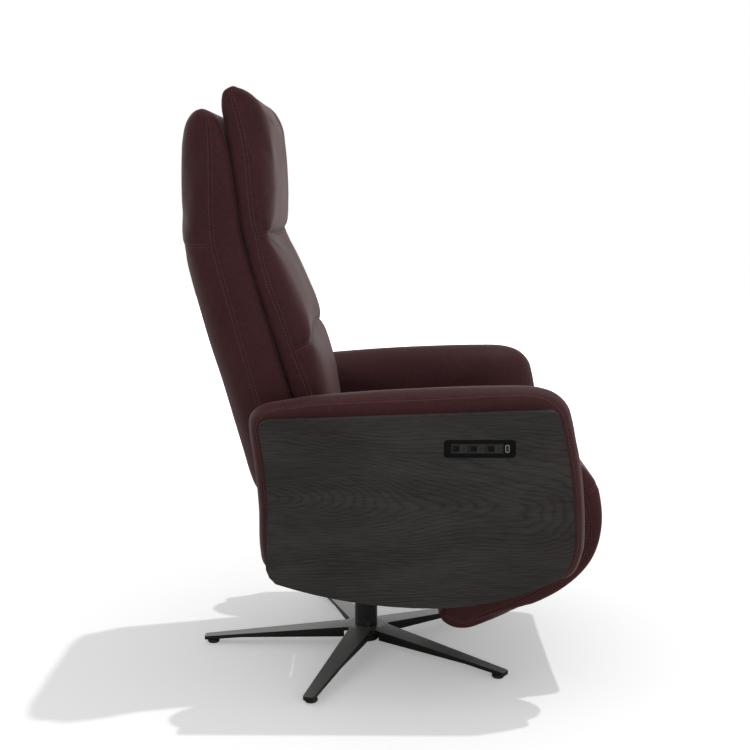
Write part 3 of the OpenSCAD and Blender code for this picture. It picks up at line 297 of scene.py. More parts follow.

# %% [markdown]
# ## Metals
# The star is cast aluminium with a graphite powder coat, the column is drawn steel in gloss black, and the
# hidden frame is powder coated. Pins, rods and springs are bright steel, with noise that is drawn out along
# X as brush marks are.

# %% Metals
# The darker tone on the star's steep faces is painted shade; its flat tops keep the lighter tone.
graphite = speckled("graphite_powder_coat_with_painted_shade", "#666664", 0.9, 0.03, 0.36, 0.6, lighter="#6f6f6d",
                    marks=((steep_shade, "#232321"),))
enamel = speckled("gloss_black_enamel", "#0c0c0b", 40, 0.02, 0.12, lighter="#0f0f0e")
powder = speckled("black_powder_coat", "#1c1c1c", 1.1, 0.05, 0.55, lighter="#232323")
steel = speckled("brushed_zinc_plated_steel", "#9a9a98", 0.8, 0.02, 0.32, 1.0, (0.05, 1, 1),
                 lighter="#b4b4b0")
print("metals made")

# %% [markdown]
# ## Plastics
# The motors, the control box and the switches are moulded plastic with a fine spark-eroded texture, drawn at 1.2
# mm so that it shows. The recessed plate is darker than its rockers, and each rocker has a raised rim. The rear
# half of each rocker is painted near black as shade. The socket has a thin grey rim. Bushes are white acetal, and
# the glides black polyethylene.

# %% Plastics
nylon = speckled("white_acetal", "#dcdcd6", 3.0, 0.02, 0.4, lighter="#e6e6e0")
switch_z, rocker_ys, usb_y = 521.0, (-178.9, -211.5, -244.1), -267.5
plastic = speckled("black_abs", "#0f0e0e", 1.2, 0.04, 0.5, lighter="#141413", Specular_IOR_Level=0.15)
plate_plastic = speckled("black_abs_plate", "#090909", 1.2, 0.04, 0.5, lighter="#0c0c0b",
                         Specular_IOR_Level=0.06,
                         marks=[(oblong(y, switch_z, 14.6, 7.4, rim=1.6), "#31302f") for y in rocker_ys])
# The near-black oblong on the rear half of each rocker is painted shade.
rocker_plastic = speckled("black_abs_rocker_with_painted_shade", "#2a2928", 1.2, 0.04, 0.5, lighter="#31302f",
                          Specular_IOR_Level=0.15,
                          marks=[(oblong(y + 6.5, switch_z, 6.2, 5.8), "#020202") for y in rocker_ys])
grey_plastic = speckled("black_abs_with_grey_rim", "#0b0b0b", 2.0, 0.02, 0.4, lighter="#0e0e0e",
                        marks=((oblong(usb_y, switch_z, 2.6, 6.0, rim=1.2), "#8b8b88"),))
rubber = speckled("black_polyethylene", "#151515", 1.5, 0.05, 0.6, lighter="#1b1b1b")
print("plastics made; the switches are", switch_z, "mm above the floor")

# %% [markdown]
# ## Plywood, webbing and thread
# The boards under the leather are birch plywood, whose grain runs along Y. The back's webbing is woven from
# rubber and yarn, with ribs across it. The seams are sewn with bonded thread that is a little lighter than
# the leather, so that the rows of stitches show.

# %% Plywood, webbing and thread
plywood = speckled("birch_plywood", "#b88f5f", 30, 0.05, 0.6, 0.0, (1, 0.06, 1), lighter="#cfa878")
webbing = speckled("elastic_webbing", "#1a1a1c", 1.6, 0.25, 0.85, 0.0, (1, 1, 0.3), lighter="#2c2c30")
thread = speckled("bonded_nylon_thread", "#553839", 0.6, 0.05, 0.6, lighter="#604142")
print("plywood, webbing and thread made")

# %% [markdown]
# ## Finishes on the CAD nodes
# The CAD record names a material slot for each node. Each slot gets one finish. Only the switch plate and the
# rockers have finishes of their own, because their marks are drawn in the finish.

# %% Finishes on the CAD nodes
finishes = {
    "graphite_aluminium": graphite, "black_enamel": enamel, "black_powder_coat": powder,
    "bright_steel": steel, "white_nylon": nylon, "black_plastic": plastic, "grey_plastic": grey_plastic,
    "glide_plastic": rubber, "plywood": plywood, "dark_oak": dark_oak, "elastic_webbing": webbing,
    "burgundy_leather": burgundy_leather,
}
special = {"switch_plate": plate_plastic, "rocker_back": rocker_plastic, "rocker_legs": rocker_plastic,
           "rocker_head": rocker_plastic}
for row in frame["record"]["subparts"]:
    cad = frame["nodes"][row["node"]]
    cad.data.materials.clear()
    cad.data.materials.append(special.get(row["node"], finishes[row["material_slot"]]))

# %% [markdown]
# ## Curves and covers
# A seat cover is two leather panels, a front and a rear one, sewn together along the sides. So each pad is
# drawn as a stack of closed rings. One ring goes round the pad at one height: across the front panel, round
# the edge, along the side to the seam, and back across the rear panel. The seams are then lines of the
# grid, and stay exact. The other way, remeshing a block, loses every seam that is narrower than its voxels.

# %% Curves
TINY = 1e-9  # keeps a division by a length of zero harmless
FINE = 1500  # points of a curve before it is spaced out evenly


def through(points, count, ends=0.0):
    """A smooth curve through points, as count points. Between two neighbours p and q it is the cubic that
    leaves p and reaches q along the line that joins each point's neighbours. The points returned are evenly
    spaced along it, or closer together towards its ends as ends goes from 0 to 1."""
    p = np.array(points, float)
    chord = np.r_[0, np.cumsum(np.maximum(np.linalg.norm(np.diff(p, axis=0), axis=1), TINY))]
    tangent = np.gradient(p, chord, axis=0)
    u = np.linspace(0, chord[-1], FINE)
    i = np.clip(np.searchsorted(chord, u, side="right") - 1, 0, len(p) - 2)
    step = (chord[i + 1] - chord[i])[:, None]
    h = (u[:, None] - chord[i][:, None]) / step
    fine = ((2 * h ** 3 - 3 * h ** 2 + 1) * p[i] + (h ** 3 - 2 * h ** 2 + h) * step * tangent[i]
            + (3 * h ** 2 - 2 * h ** 3) * p[i + 1] + (h ** 3 - h ** 2) * step * tangent[i + 1])
    along = np.r_[0, np.cumsum(np.linalg.norm(np.diff(fine, axis=0), axis=1))]
    even = np.linspace(0, 1, count)
    share = (1 - ends) * even + ends * (1 - np.cos(np.pi * even)) / 2
    return np.stack([np.interp(share * along[-1], along, fine[:, k]) for k in range(p.shape[1])], 1)


def turned(origin, angle_deg, points):
    """Points given as (along, forward) in mm from origin (y, z), where along leans back by angle_deg."""
    t = math.radians(angle_deg)
    up, out = np.array([math.sin(t), math.cos(t)]), np.array([-math.cos(t), math.sin(t)])
    q = np.array(points, float) * MM
    return origin + q[:, :1] * up + q[:, 1:] * out


print("curve helper ready; straight test", through([(0, 0), (1, 0), (2, 0)], 5)[:, 0])


# %% Rings of a pad
(FRONT, FRONT_EDGE, FRONT_SIDE, FRONT_NEAR, ON_SEAM, REAR_NEAR, REAR_SIDE, REAR_EDGE, REAR) = range(9)
near_mm = (8.0, 3.4, 1.4)  # the columns beside a seam


def half_ring():
    """The columns of half a ring, from the middle of the front panel to the middle of the rear one, as
    (part, place). place is a share of the part, or beside the seam the distance from it in mm."""
    rows = [(FRONT, v) for v in np.linspace(0, 1, 15, endpoint=False) ** 0.8]
    rows += [(FRONT_EDGE, v) for v in np.linspace(0, 1, 6)]
    rows += [(FRONT_SIDE, v) for v in (0.33, 0.67, 1.0)]
    rows += [(FRONT_NEAR, d) for d in near_mm] + [(ON_SEAM, 0.0)] + [(REAR_NEAR, d) for d in near_mm[::-1]]
    rows += [(REAR_SIDE, v) for v in (1.0, 0.67, 0.33)]
    rows += [(REAR_EDGE, v) for v in np.linspace(1, 0, 6)]
    rows += [(REAR, v) for v in np.linspace(1, 0, 13)[1:] ** 1.2]
    return np.array(rows)


stations = half_ring()
FRONT_END, SEAM, REAR_START = (int(np.argmax(stations[:, 0] == part))
                               for part in (FRONT_EDGE, ON_SEAM, REAR_EDGE))
HALF = len(stations)
RING = 2 * HALF - 2


def pad_rings(curves, half_width, edges, draw=0.0, corner=0.0):
    """A grid (rings, columns, 3) of a pad. curves holds a front point, a seam point and a rear point, (y, z)
    in metres, for each ring. The side is at x = half width, less draw in the middle of the length and less
    corner * (1 - sqrt(1 - t^2)) near the ends. An edge (e, c) is a quarter ellipse: the skin goes in by
    c * (1 - sin a) across and by e * (1 - cos a) along the side, for a from 0 at the panel to 90 degrees.
    Where a pad is thin, an edge takes at most 0.7 of its depth, and the columns beside the seam move up."""
    front, seam, rear = curves[:, 0], curves[:, 1], curves[:, 2]
    run = np.r_[0, np.cumsum(np.linalg.norm(np.diff(seam, axis=0), axis=1))] / MM
    q = run / run[-1] * 2 - 1
    width = half_width - draw * (1 - q ** 2)
    if corner:
        t = np.clip(1 - np.minimum(run, run[-1] - run) / corner, 0, 1)
        width = width - corner * (1 - np.sqrt(np.maximum(1 - t ** 2, 0)))
    width = width[:, None]
    half = np.zeros((len(curves), HALF, 3))
    sides = ((range(SEAM + 1), front, edges[0]), (range(SEAM + 1, HALF), rear, edges[1]))
    for columns, panel, (e_full, c_full) in sides:
        away = panel - seam
        far = np.linalg.norm(away, axis=1)[:, None] / MM
        away = away / np.maximum(far * MM, TINY)
        e = np.minimum(e_full, far * 0.7)
        c = c_full * e / e_full
        scale = np.minimum(1, (far - e) * 0.8 / near_mm[0])
        for k in columns:
            part, place = stations[k]
            a = place * np.pi / 2
            x = width
            if part in (FRONT, REAR):
                x, d = (width - c) * place, far
            elif part in (FRONT_EDGE, REAR_EDGE):
                x, d = width - c * (1 - np.sin(a)), far - e * (1 - np.cos(a))
            elif part in (FRONT_SIDE, REAR_SIDE):
                d = far - e - (far - e - near_mm[0] * scale) * place * 0.85
            else:
                d = place * scale
            half[:, k, 0] = x[:, 0] * MM
            half[:, k, 1:] = seam + away * d * MM
    return np.concatenate([half, half[:, -2:0:-1] * (-1, 1, 1)], 1)


print("a ring has", RING, "points; its seams are columns", SEAM, "and", RING - SEAM)

# %% [markdown]
# ## From a grid to a mesh
# Points that fall together at a pad's ends are welded, and faces that vanish there are left out, so the
# cover is one closed skin with its faces outwards. The grid's numbers are kept: they say where each seam
# runs.

# %% Meshes from grids
WELD = 2e-6  # metres within which two points are one


def skin(name, grid, closed=False):
    """Makes a mesh object from a grid of rings. Returns it and the number of each grid point's vertex. With
    closed, the first and last ring are filled by a strip that joins point i to point -i of the ring."""
    rows, columns = grid.shape[:2]
    flat = grid.reshape(-1, 3)
    _, first, number = np.unique(np.round(flat / WELD).astype(np.int64), axis=0, return_index=True,
                                 return_inverse=True)
    number = number.reshape(rows, columns)
    a, b = number[:-1], np.roll(number[:-1], -1, 1)
    d, c = number[1:], np.roll(number[1:], -1, 1)
    quads = np.stack([a, b, c, d], -1).reshape(-1, 4)
    same = quads == np.roll(quads, -1, 1)
    full = quads[~same.any(1) & (quads[:, 0] != quads[:, 2]) & (quads[:, 1] != quads[:, 3])]
    one = quads[same.sum(1) == 1]
    drop = np.argmax(same[same.sum(1) == 1], 1)
    keep = (drop[:, None] + np.arange(1, 4)) % 4
    triangles = np.take_along_axis(one, keep, 1)
    triangles = triangles[(triangles[:, 0] != triangles[:, 2])]
    faces = full.tolist() + triangles.tolist()
    if closed:
        half = columns // 2
        i = np.arange(1, half - 1)
        for ring, turn in ((number[0], -1), (number[-1], 1)):
            faces += np.stack([ring[i], ring[i + 1], ring[-i - 1], ring[-i]], -1)[:, ::turn].tolist()
            for end in ([0, 1, -1], [half - 1, half, half + 1]):
                faces.append(ring[end][::turn].tolist())
    mesh = bpy.data.meshes.new(name)
    mesh.from_pydata(flat[first].tolist(), [], faces)
    mesh.validate()
    made = bpy.data.objects.new(name, mesh)
    scene.collection.objects.link(made)
    if volume(mesh) < 0:
        mesh.flip_normals()
    mesh.polygons.foreach_set("use_smooth", np.ones(len(mesh.polygons), bool))
    return made, number


def points_of(mesh):
    """A mesh's vertices as one array."""
    co = np.empty(len(mesh.vertices) * 3, np.float32)
    mesh.vertices.foreach_get("co", co)
    return co.reshape(-1, 3).astype(float)


def normals_of(mesh):
    """A mesh's vertex normals as one array."""
    n = np.empty(len(mesh.vertices) * 3, np.float32)
    mesh.vertex_normals.foreach_get("vector", n)
    return n.reshape(-1, 3).astype(float)


def volume(mesh):
    """Signed volume: a sixth of the sum of a . (b x c) over the triangles."""
    mesh.calc_loop_triangles()
    index = np.empty(len(mesh.loop_triangles) * 3, np.int32)
    mesh.loop_triangles.foreach_get("vertices", index)
    p = points_of(mesh)[index.reshape(-1, 3)]
    return np.einsum("ij,ij->i", p[:, 0], np.cross(p[:, 1], p[:, 2])).sum() / 6


print("grids can be made into skins; points closer than", WELD / MM, "mm are welded")

# %% [markdown]
# ## Stuffing
# The foam pushes a cover out, and the seams hold it back. Blender's cloth does the same: the skin is
# inflated from inside while the seam lines are pinned. A point may move only so far, because foam is firm
# and the measured outline has to stay, so the move m is softened to cap * tanh(m / cap).


# %% Stuff and sew
def stuff(piece, held, cap_mm, pressure=4.0, frames=20):
    """Cloth with pressure for some frames. held is 1 where a seam or board holds the cover, 0 where it is
    free. Returns how far the cover moved at most, in mm."""
    start = points_of(piece.data)
    group = piece.vertex_groups.new(name="held")
    for level in np.unique(np.round(held, 1)):
        group.add(np.flatnonzero(np.round(held, 1) == level).tolist(), float(level), "REPLACE")
    cloth = piece.modifiers.new("stuffing", "CLOTH")
    set_up = cloth.settings
    set_up.vertex_group_mass = "held"
    set_up.quality = 4
    set_up.mass = 0.4
    set_up.use_pressure = True
    set_up.uniform_pressure_force = pressure
    set_up.effector_weights.gravity = 0
    for stiffness in ("tension_stiffness", "compression_stiffness", "shear_stiffness"):
        setattr(set_up, stiffness, 18)
    cloth.collision_settings.use_collision = False
    for frame_number in range(1, frames + 1):
        scene.frame_set(frame_number)
    evaluated = piece.evaluated_get(bpy.context.evaluated_depsgraph_get())
    move = points_of(evaluated.data) - start
    piece.modifiers.clear()
    piece.vertex_groups.clear()
    scene.frame_set(1)
    size = np.linalg.norm(move, axis=1, keepdims=True)
    cap = cap_mm * MM
    calm = move * (cap * np.tanh(size / cap) / np.maximum(size, TINY))
    piece.data.vertices.foreach_set("co", (start + calm).astype(np.float32).ravel())
    piece.data.update()
    return float(np.linalg.norm(calm, axis=1).max() / MM)


def raise_skin(piece, push_mm):
    """Moves each point along its normal by push_mm: in at a seam line, and a little out on both sides of it,
    as folded and stitched leather does."""
    co = points_of(piece.data) + normals_of(piece.data) * push_mm[:, None] * MM
    piece.data.vertices.foreach_set("co", co.astype(np.float32).ravel())
    piece.data.update()


def smooth_skin(piece):
    """One level of subdivision, made part of the mesh."""
    made = piece.modifiers.new("smooth", "SUBSURF")
    made.levels = made.render_levels = 1
    evaluated = piece.evaluated_get(bpy.context.evaluated_depsgraph_get())
    mesh = bpy.data.meshes.new_from_object(evaluated)
    piece.modifiers.clear()
    piece.data = mesh
    mesh.name = piece.name
    mesh.polygons.foreach_set("use_smooth", np.ones(len(mesh.polygons), bool))


print("stuffing and seams are ready")

# %% [markdown]
# ## Stitches
# A seam shows as two rows of stitches, one on each side of the fold, about 3 mm from it. Real stitches are
# 4 mm long and 0.5 mm thick. Here they are 5.6 mm long and 0.8 mm thick, because the camera stands 2.6 m
# away. Each is a low-poly lozenge of six sides that follows the surface.


# %% Stitches
def stitches(name, rows, length_mm=5.6, pitch_mm=7.0, radius_mm=0.42):
    """rows is a list of (points, normals) along the surface. A stitch is four rings of six points round a
    short line on it. The two middle rings are full, and the end rings are a third as thick and sunk in."""
    verts, faces = [], []
    sides = 6
    ring = np.linspace(0, 2 * np.pi, sides, endpoint=False)
    ends = np.array([-0.5, -0.25, 0.25, 0.5]) * length_mm
    thick = np.array([0.35, 1.0, 1.0, 0.35]) * radius_mm * MM
    height = np.array([-0.25, 0.35, 0.35, -0.25]) * radius_mm * MM
    each = len(ends) * sides
    total = 0
    for p, n in rows:
        run = np.r_[0, np.cumsum(np.linalg.norm(np.diff(p, axis=0), axis=1))] / MM
        count = int(run[-1] / pitch_mm)
        if count < 1:
            continue
        centre = (np.arange(count) + 0.5) * pitch_mm
        at = centre[:, None] + ends
        spot = np.stack([np.interp(at, run, p[:, k]) for k in range(3)], -1)
        lift = np.stack([np.interp(at, run, n[:, k]) for k in range(3)], -1)
        lift /= np.maximum(np.linalg.norm(lift, axis=2, keepdims=True), TINY)
        ahead = spot[:, -1:] - spot[:, :1]
        ahead = ahead / np.maximum(np.linalg.norm(ahead, axis=2, keepdims=True), TINY)
        side = np.cross(ahead, lift)
        round_it = np.cos(ring)[:, None] * side[:, :, None] + np.sin(ring)[:, None] * lift[:, :, None]
        body_points = (spot + lift * height[:, None])[:, :, None] + round_it * thick[:, None, None]
        verts.append(body_points.reshape(-1, 3))
        base = (np.arange(count) * each)[:, None, None] + total
        rings = base + (np.arange(len(ends) - 1) * sides)[:, None]
        a = rings + np.arange(sides)
        b = rings + (np.arange(sides) + 1) % sides
        faces += np.stack([a, b, b + sides, a + sides], -1).reshape(-1, 4).tolist()
        caps = base[:, 0] + np.arange(sides)
        faces += caps[:, ::-1].tolist() + (caps + each - sides).tolist()
        total += count * each
    mesh = bpy.data.meshes.new(name)
    mesh.from_pydata(np.concatenate(verts).tolist(), [], faces)
    if volume(mesh) < 0:
        mesh.flip_normals()
    mesh.polygons.foreach_set("use_smooth", np.ones(len(mesh.polygons), bool))
    made = bpy.data.objects.new(name, mesh)
    scene.collection.objects.link(made)
    made.data.materials.append(thread)
    return made


def on_skin(piece, number, rows, columns):
    """Points and normals of the finished skin at grid places (rows, columns), which may lie between
    points."""
    co, n = points_of(piece.data), normals_of(piece.data)
    r0, c0 = np.floor(rows).astype(int), np.floor(columns).astype(int)
    r1, c1 = np.minimum(r0 + 1, number.shape[0] - 1), (c0 + 1) % number.shape[1]
    fr, fc = (rows - r0)[:, None], (columns - c0)[:, None]
    blend = [(number[r0, c0], (1 - fr) * (1 - fc)), (number[r1, c0], fr * (1 - fc)),
             (number[r0, c1], (1 - fr) * fc), (number[r1, c1], fr * fc)]
    return tuple(sum(w * values[ids] for ids, w in blend) for values in (co, n))


print("stitching is ready")

# %% [markdown]
# ## Tables of rings
# The outline of each pad was measured on the photograph, and is written as a table beside its pad. Each table
# row is one ring: a point on the front panel, one on the side seam and one on the rear panel. The back's
# points are (up, forward) in mm from its pivot, along the back, which leans by 16.5 degrees. The head's are
# from its own pivot, and the seat's and the leg rest's are plain (y, z).


# %% From tables to rings
back_from, head_from = pivots["back_recline"][1:], pivots["head_tilt"][1:]
lean = 16.5


def ring_curves(count, back=(), head=(), plain=()):
    """Curves (rings, 3, 2) in metres through the rows of the back, the head or plain ones, in this order,
    evenly spaced but closer at the ends."""
    places = [turned(back_from, lean, np.reshape(back, (-1, 2))),
              turned(head_from, 0, np.reshape(head, (-1, 2))), np.reshape(plain, (-1, 2)) * MM]
    return through(np.concatenate(places).reshape(-1, 6), count, ends=0.35).reshape(count, 3, 2)


print("tables can be made into rings; the back leans by", lean, "degrees")

# %% [markdown]
# ## Making a pad
# The steps are always the same: rings, skin, stuffing, seams, one subdivision, stitches. Held fast during the
# stuffing are the seams, the two ends and the panel that lies on a board, a frame or another pad. The pad
# starts a little too small, and the stuffing fills it out.


# %% Arched creases
pad_half = 235.5
creases = ((240.0, 22.0, 75.0), (471.0, -10.0, 60.0))  # mm up the back, rise in the middle, reach


def arched(points):
    """Each crease of the back rises or sags by h in the middle: h * (1 - (x / w)^2), fading out within its
    reach by the smooth step s^2 (3 - 2 s)."""
    t = math.radians(lean)
    up = np.array([0, math.sin(t), math.cos(t)])
    along = (points - np.r_[0, back_from]) @ up / MM
    bow = 1 - np.clip(points[:, 0] / (pad_half * MM), -1, 1) ** 2
    moved = points.copy()
    for place, height, reach in creases:
        close = np.clip(1 - np.abs(along - place) / reach, 0, 1)
        moved += (close ** 2 * (3 - 2 * close) * bow * height * MM)[:, None] * up
    return moved


print("the back has", len(creases), "arched creases")


# %% One pad
end_rings = 3  # held, and without a side seam, at both ends of a pad
seam_push = -1.0  # mm


def make_pad(name, curves, edges, corner, cap_mm, rest, nodes, plump=(5.0, 0.0), cross=(), cross_rear=False,
             arch=False):
    """One finished pad and its stitches. rest is the panel that lies on something: "rear" or "front". plump
    says how far the front and the rear panel are drawn in before the stuffing, in mm. cross holds ((y, z) in
    mm, depth in mm) of seams that run across one panel from side seam to side seam."""
    rings = len(curves)
    for side, much in ((0, plump[0]), (2, plump[1])):
        away = curves[:, side] - curves[:, 1]
        gap = np.linalg.norm(away, axis=1)
        shift = np.clip(much * MM, -gap * 0.2, gap * 0.2)
        curves[:, side] -= away * (shift / np.maximum(gap, TINY))[:, None]
    piece, number = skin(name + "_leather", pad_rings(curves, pad_half, edges, 2.0, corner))
    held = np.zeros(len(piece.data.vertices))
    resting = (REAR_START, RING - REAR_START) if rest == "rear" else (-FRONT_END, FRONT_END)
    held[number[:, np.arange(resting[0], resting[1] + 1)]] = 1
    held[number[:, [SEAM, RING - SEAM]]] = 1
    held[number[np.r_[0:end_rings, -end_rings:0]]] = 1
    left, right = (SEAM, RING - SEAM) if cross_rear else (-SEAM, SEAM)
    belt = np.arange(left, right + 1) % RING
    panel = curves[:, 2 if cross_rear else 0]
    cross = [(int(np.argmin(np.linalg.norm(panel - np.array(place) * MM, axis=1))), deep)
             for place, deep in cross]
    for row, _ in cross:
        held[number[row, belt]] = 1
    moved = stuff(piece, held, cap_mm)
    if arch:
        piece.data.vertices.foreach_set("co", arched(points_of(piece.data)).astype(np.float32).ravel())
        piece.data.update()
    push = np.zeros(len(piece.data.vertices))
    for column in (SEAM, RING - SEAM):
        push[number[end_rings:-end_rings, [column - 1, column + 1]]] = 0.3
    for row, deep in cross:
        push[number[[row - 2, row + 2]][:, belt]] = -0.1 * deep + 0.4
        push[number[[row - 1, row + 1]][:, belt]] = -0.45 * deep + 0.3
        push[number[row, belt]] = -deep
    for column in (SEAM, RING - SEAM):
        push[number[end_rings:-end_rings, column]] = seam_push
    raise_skin(piece, push)
    smooth_skin(piece)
    rows = np.linspace(4, rings - 5, 3 * rings)
    paths = [on_skin(piece, number, rows, np.full(len(rows), float(column)))
             for column in (SEAM - 2, SEAM + 2, RING - SEAM - 2, RING - SEAM + 2)]
    for row, _ in cross:
        spacing = np.linalg.norm(panel[row + 1] - panel[row - 1]) / 2 / MM
        across = np.linspace(left + 2, right - 2, 400)
        for step in (-near_mm[1], near_mm[1]):
            paths.append(on_skin(piece, number, np.full(len(across), row + step / spacing), across % RING))
    seams = stitches(name + "_stitches", paths)
    piece.data.materials.append(burgundy_leather)
    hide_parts(*nodes)
    print(name, "has", len(piece.data.polygons), "faces; its leather moved", round(moved, 1), "mm")
    return piece, seams


print("pads can be made")

# %% [markdown]
# ## Front cover of the back
# On the real chair one leather cover is drawn over the lumbar, back and head cushions, and two sewn creases
# divide it. Three separate pads would be easier, but gaps would open between them when the head rest tilts.
# So it is one skin that runs on over the head rest's pivot, and the creases are seams across its front.

# %% Front cover
front_back_rows = [
    [(-97, 29)] * 3, [(-92.5, 41), (-92.5, 34), (-92, 27)], [(-80.5, 61), (-78, 42), (-78, 26.7)],
    [(-60, 81.3), (-58, 49), (-58, 26.7)], [(-35, 95), (-33, 56), (-33, 26.7)],
    [(-10, 96.5), (-8, 61), (-6, 26.7)], [(22, 91), (22, 66), (24, 26.7)],
    [(60, 91), (60, 66), (60, 26.7)], [(100, 97), (100, 67), (100, 26.7)],
    [(139, 102.5), (139, 66), (139, 26.7)],
    [(175, 104.5), (175, 64.5), (175, 26.7)], [(205, 105.5), (205, 62), (205, 26.7)],
    [(226, 105.5), (226, 60), (226, 26.7)], [(240, 103), (240, 59.2), (240, 26.7)],
    [(254, 107.5), (254, 58.6), (254, 26.7)], [(273, 109), (273, 58), (273, 26.7)],
    [(299, 107), (299, 57), (299, 26.7)], [(335, 102), (335, 54.3), (335, 26.7)],
    [(370, 98), (368, 52.5), (368, 26.7)], [(400, 94), (398, 52), (398, 26.7)],
    [(428, 89.5), (426, 53.5), (422, 26.7)], [(448, 85.5), (446, 55.5), (440, 26.7)],
    [(461, 82.5), (460, 56.6), (455, 26.7)]]
front_head_rows = [
    [(16, 56.5), (9, 31.5), (5, -0.8)], [(29, 61), (22, 26.5), (20, -2.6)],
    [(55, 62), (48, 21.5), (45, -5.4)],
    [(93, 62.5), (93, 17), (93, -11.5)], [(130, 61), (133, 14.5), (135, -17.8)],
    [(165, 58.5), (170, 11.5), (170, -24)], [(200, 56), (203, 6), (203, -29.6)],
    [(230, 53.5), (232, -1), (232, -33.3)], [(254, 49), (256, -8), (254, -36)],
    [(272, 41), (272, -13), (269, -35)],
    [(285, 28), (283.5, -17), (280, -32)], [(292.5, 6), (290.5, -16), (287, -26)], [(293.5, -13)] * 3]
head_crease = turned(head_from, 0, front_head_rows[0][:1])[0] / MM
back_crease = turned(back_from, lean, [(240, 103)])[0] / MM
front = make_pad("front_cover", ring_curves(230, back=front_back_rows, head=front_head_rows),
                 edges=((30, 38), (30, 34)), corner=16, cap_mm=8, rest="rear",
                 nodes=["lower_back_cushion", "lumbar_cushion", "head_cushion"],
                 cross=((head_crease, 3.0), (back_crease, 3.0)), arch=True)

# %% [markdown]
# ## Rear cover of the back
# The rear of the back is a padded shell. Its leather is pulled tight over a board, so it is stuffed least, and its
# rear edges are wide and round. One seam runs across it beside the head rest's pivot. Each side seam lies in the
# crease between the two covers.

# %% Rear cover
rear_back_rows = [
    [(-101.6, -9)] * 3, [(-100.3, 10), (-100, -12), (-98, -26)], [(-96, 24.5), (-94, -20), (-88, -50)],
    [(-80, 26), (-78, -28), (-70, -76)], [(-55, 26), (-55, -34), (-48, -92.5)],
    [(-25, 26), (-22, -37), (-20, -98)], [(10, 26), (10, -38.5), (12, -98.5)],
    [(60, 26), (60, -39), (60, -97)], [(125, 26), (125, -38), (130, -96.5)],
    [(200, 26), (205, -36.5), (210, -95.5)], [(283, 26), (290, -34), (295, -97)],
    [(345, 26), (360, -32), (368, -96)], [(400, 26), (412, -30.8), (424, -95)],
    [(442, 26), (452, -29.8), (466, -93.5)]]
rear_head_rows = [
    [(5, -1.2), (0, -56), (0, -121)], [(38, -5), (42, -57), (42, -118.7)],
    [(75, -9.5), (80, -57.5), (80, -118)],
    [(112, -14.7), (118, -57.4), (118, -117.3)], [(150, -20.8), (155, -57), (155, -115.8)],
    [(188, -28.6), (195, -57.8), (198, -113)], [(216, -36.5), (222, -59.5), (232, -105.5)],
    [(234, -45), (237, -62), (247, -92)], [(243.5, -54), (244.5, -65), (251.5, -80)], [(250.5, -67)] * 3]
head_seam = turned(head_from, 0, [(-13, -117)])[0] / MM
rear = make_pad("rear_cover", ring_curves(190, back=rear_back_rows, head=rear_head_rows),
                edges=((16, 8), (48, 84)), corner=26, cap_mm=6, rest="front",
                nodes=["back_shell", "head_shell"], plump=(0.0, -3.5), cross=((head_seam, 1.8),),
                cross_rear=True)

# %% [markdown]
# ## Seat cushion
# The seat is foam on zigzag springs, with a thin front lip that is rounded over. Its rings run from the rear
# end to the lip, and close up to a point at both, where the welding turns them into a neat end.

# %% Seat cushion
seat_rows = [
    [(25.8, 432)] * 3, [(26, 446), (25.4, 437), (27.5, 417)], [(28, 461), (22, 441), (32.5, 397)],
    [(20, 471.5), (10, 443), (28, 386.3)], [(-5, 477), (-12, 445), (0, 386)],
    [(-60, 484.5), (-60, 450), (-50, 386)],
    [(-130, 490.5), (-125, 455), (-110, 386)], [(-200, 495), (-190, 458), (-170, 386)],
    [(-265, 497), (-250, 460), (-230, 386)], [(-315, 496), (-300, 461.5), (-280, 386)],
    [(-352, 492.5), (-336, 463), (-313, 387)], [(-379, 486.5), (-363, 465), (-324.5, 408)],
    [(-397, 480.5), (-383, 468), (-337, 434)], [(-407, 475), (-397, 469.6), (-358, 455)],
    [(-410, 472), (-405, 469.8), (-385, 467)], [(-410.4, 470.2)] * 3]
seat = make_pad("seat_cushion", ring_curves(110, plain=seat_rows), edges=((24, 20), (10, 8)), corner=12,
                cap_mm=10, rest="rear", nodes=["seat_cushion"])

# %% [markdown]
# ## Leg pad
# The leg rest is folded under the seat in the photograph, so its curved front shows below the seat's lip. The
# pad lies on a board, and one seam runs across it where its upper roll ends.

# %% Leg pad
leg_rows = [
    [(-365, 457)] * 3, [(-374, 464), (-371, 455), (-361.5, 447)],
    [(-391, 468), (-380, 451), (-359.5, 436)],
    [(-408, 470), (-391, 446), (-358.5, 420)], [(-425.5, 465), (-403, 437), (-357.5, 405)],
    [(-441.5, 453), (-414, 426), (-356.5, 391)], [(-457.5, 434.5), (-424.5, 413.5), (-355.5, 377)],
    [(-471.5, 415), (-433, 398), (-354.5, 364)], [(-478, 392), (-440, 380), (-352, 350)],
    [(-482, 365), (-446, 361), (-343, 341)], [(-483, 340), (-451, 341), (-331, 329.5)],
    [(-480.5, 311), (-451.5, 318), (-317, 316)], [(-473.5, 279.5), (-445.5, 290), (-300, 300)],
    [(-460.5, 250.5), (-433, 264), (-284, 284.5)], [(-438, 222), (-412, 240), (-266, 267)],
    [(-404, 193), (-383, 216), (-246, 248)], [(-357, 165.5), (-340, 192), (-229, 231.5)],
    [(-305, 144.5), (-292, 167), (-214, 217)], [(-254, 123.5), (-242, 147), (-200, 203)],
    [(-216, 111), (-212, 132), (-184, 187.5)], [(-193, 109), (-192, 130), (-174, 178.5)],
    [(-174, 112), (-176, 135), (-166, 170)], [(-156, 124), (-165, 144), (-160, 161)],
    [(-149.5, 147)] * 3]
legs = make_pad("leg_pad", ring_curves(130, plain=leg_rows), edges=((26, 22), (12, 10)), corner=20, cap_mm=8,
                rest="rear", nodes=["leg_pad"], cross=(((-471.5, 415), 2.0),))
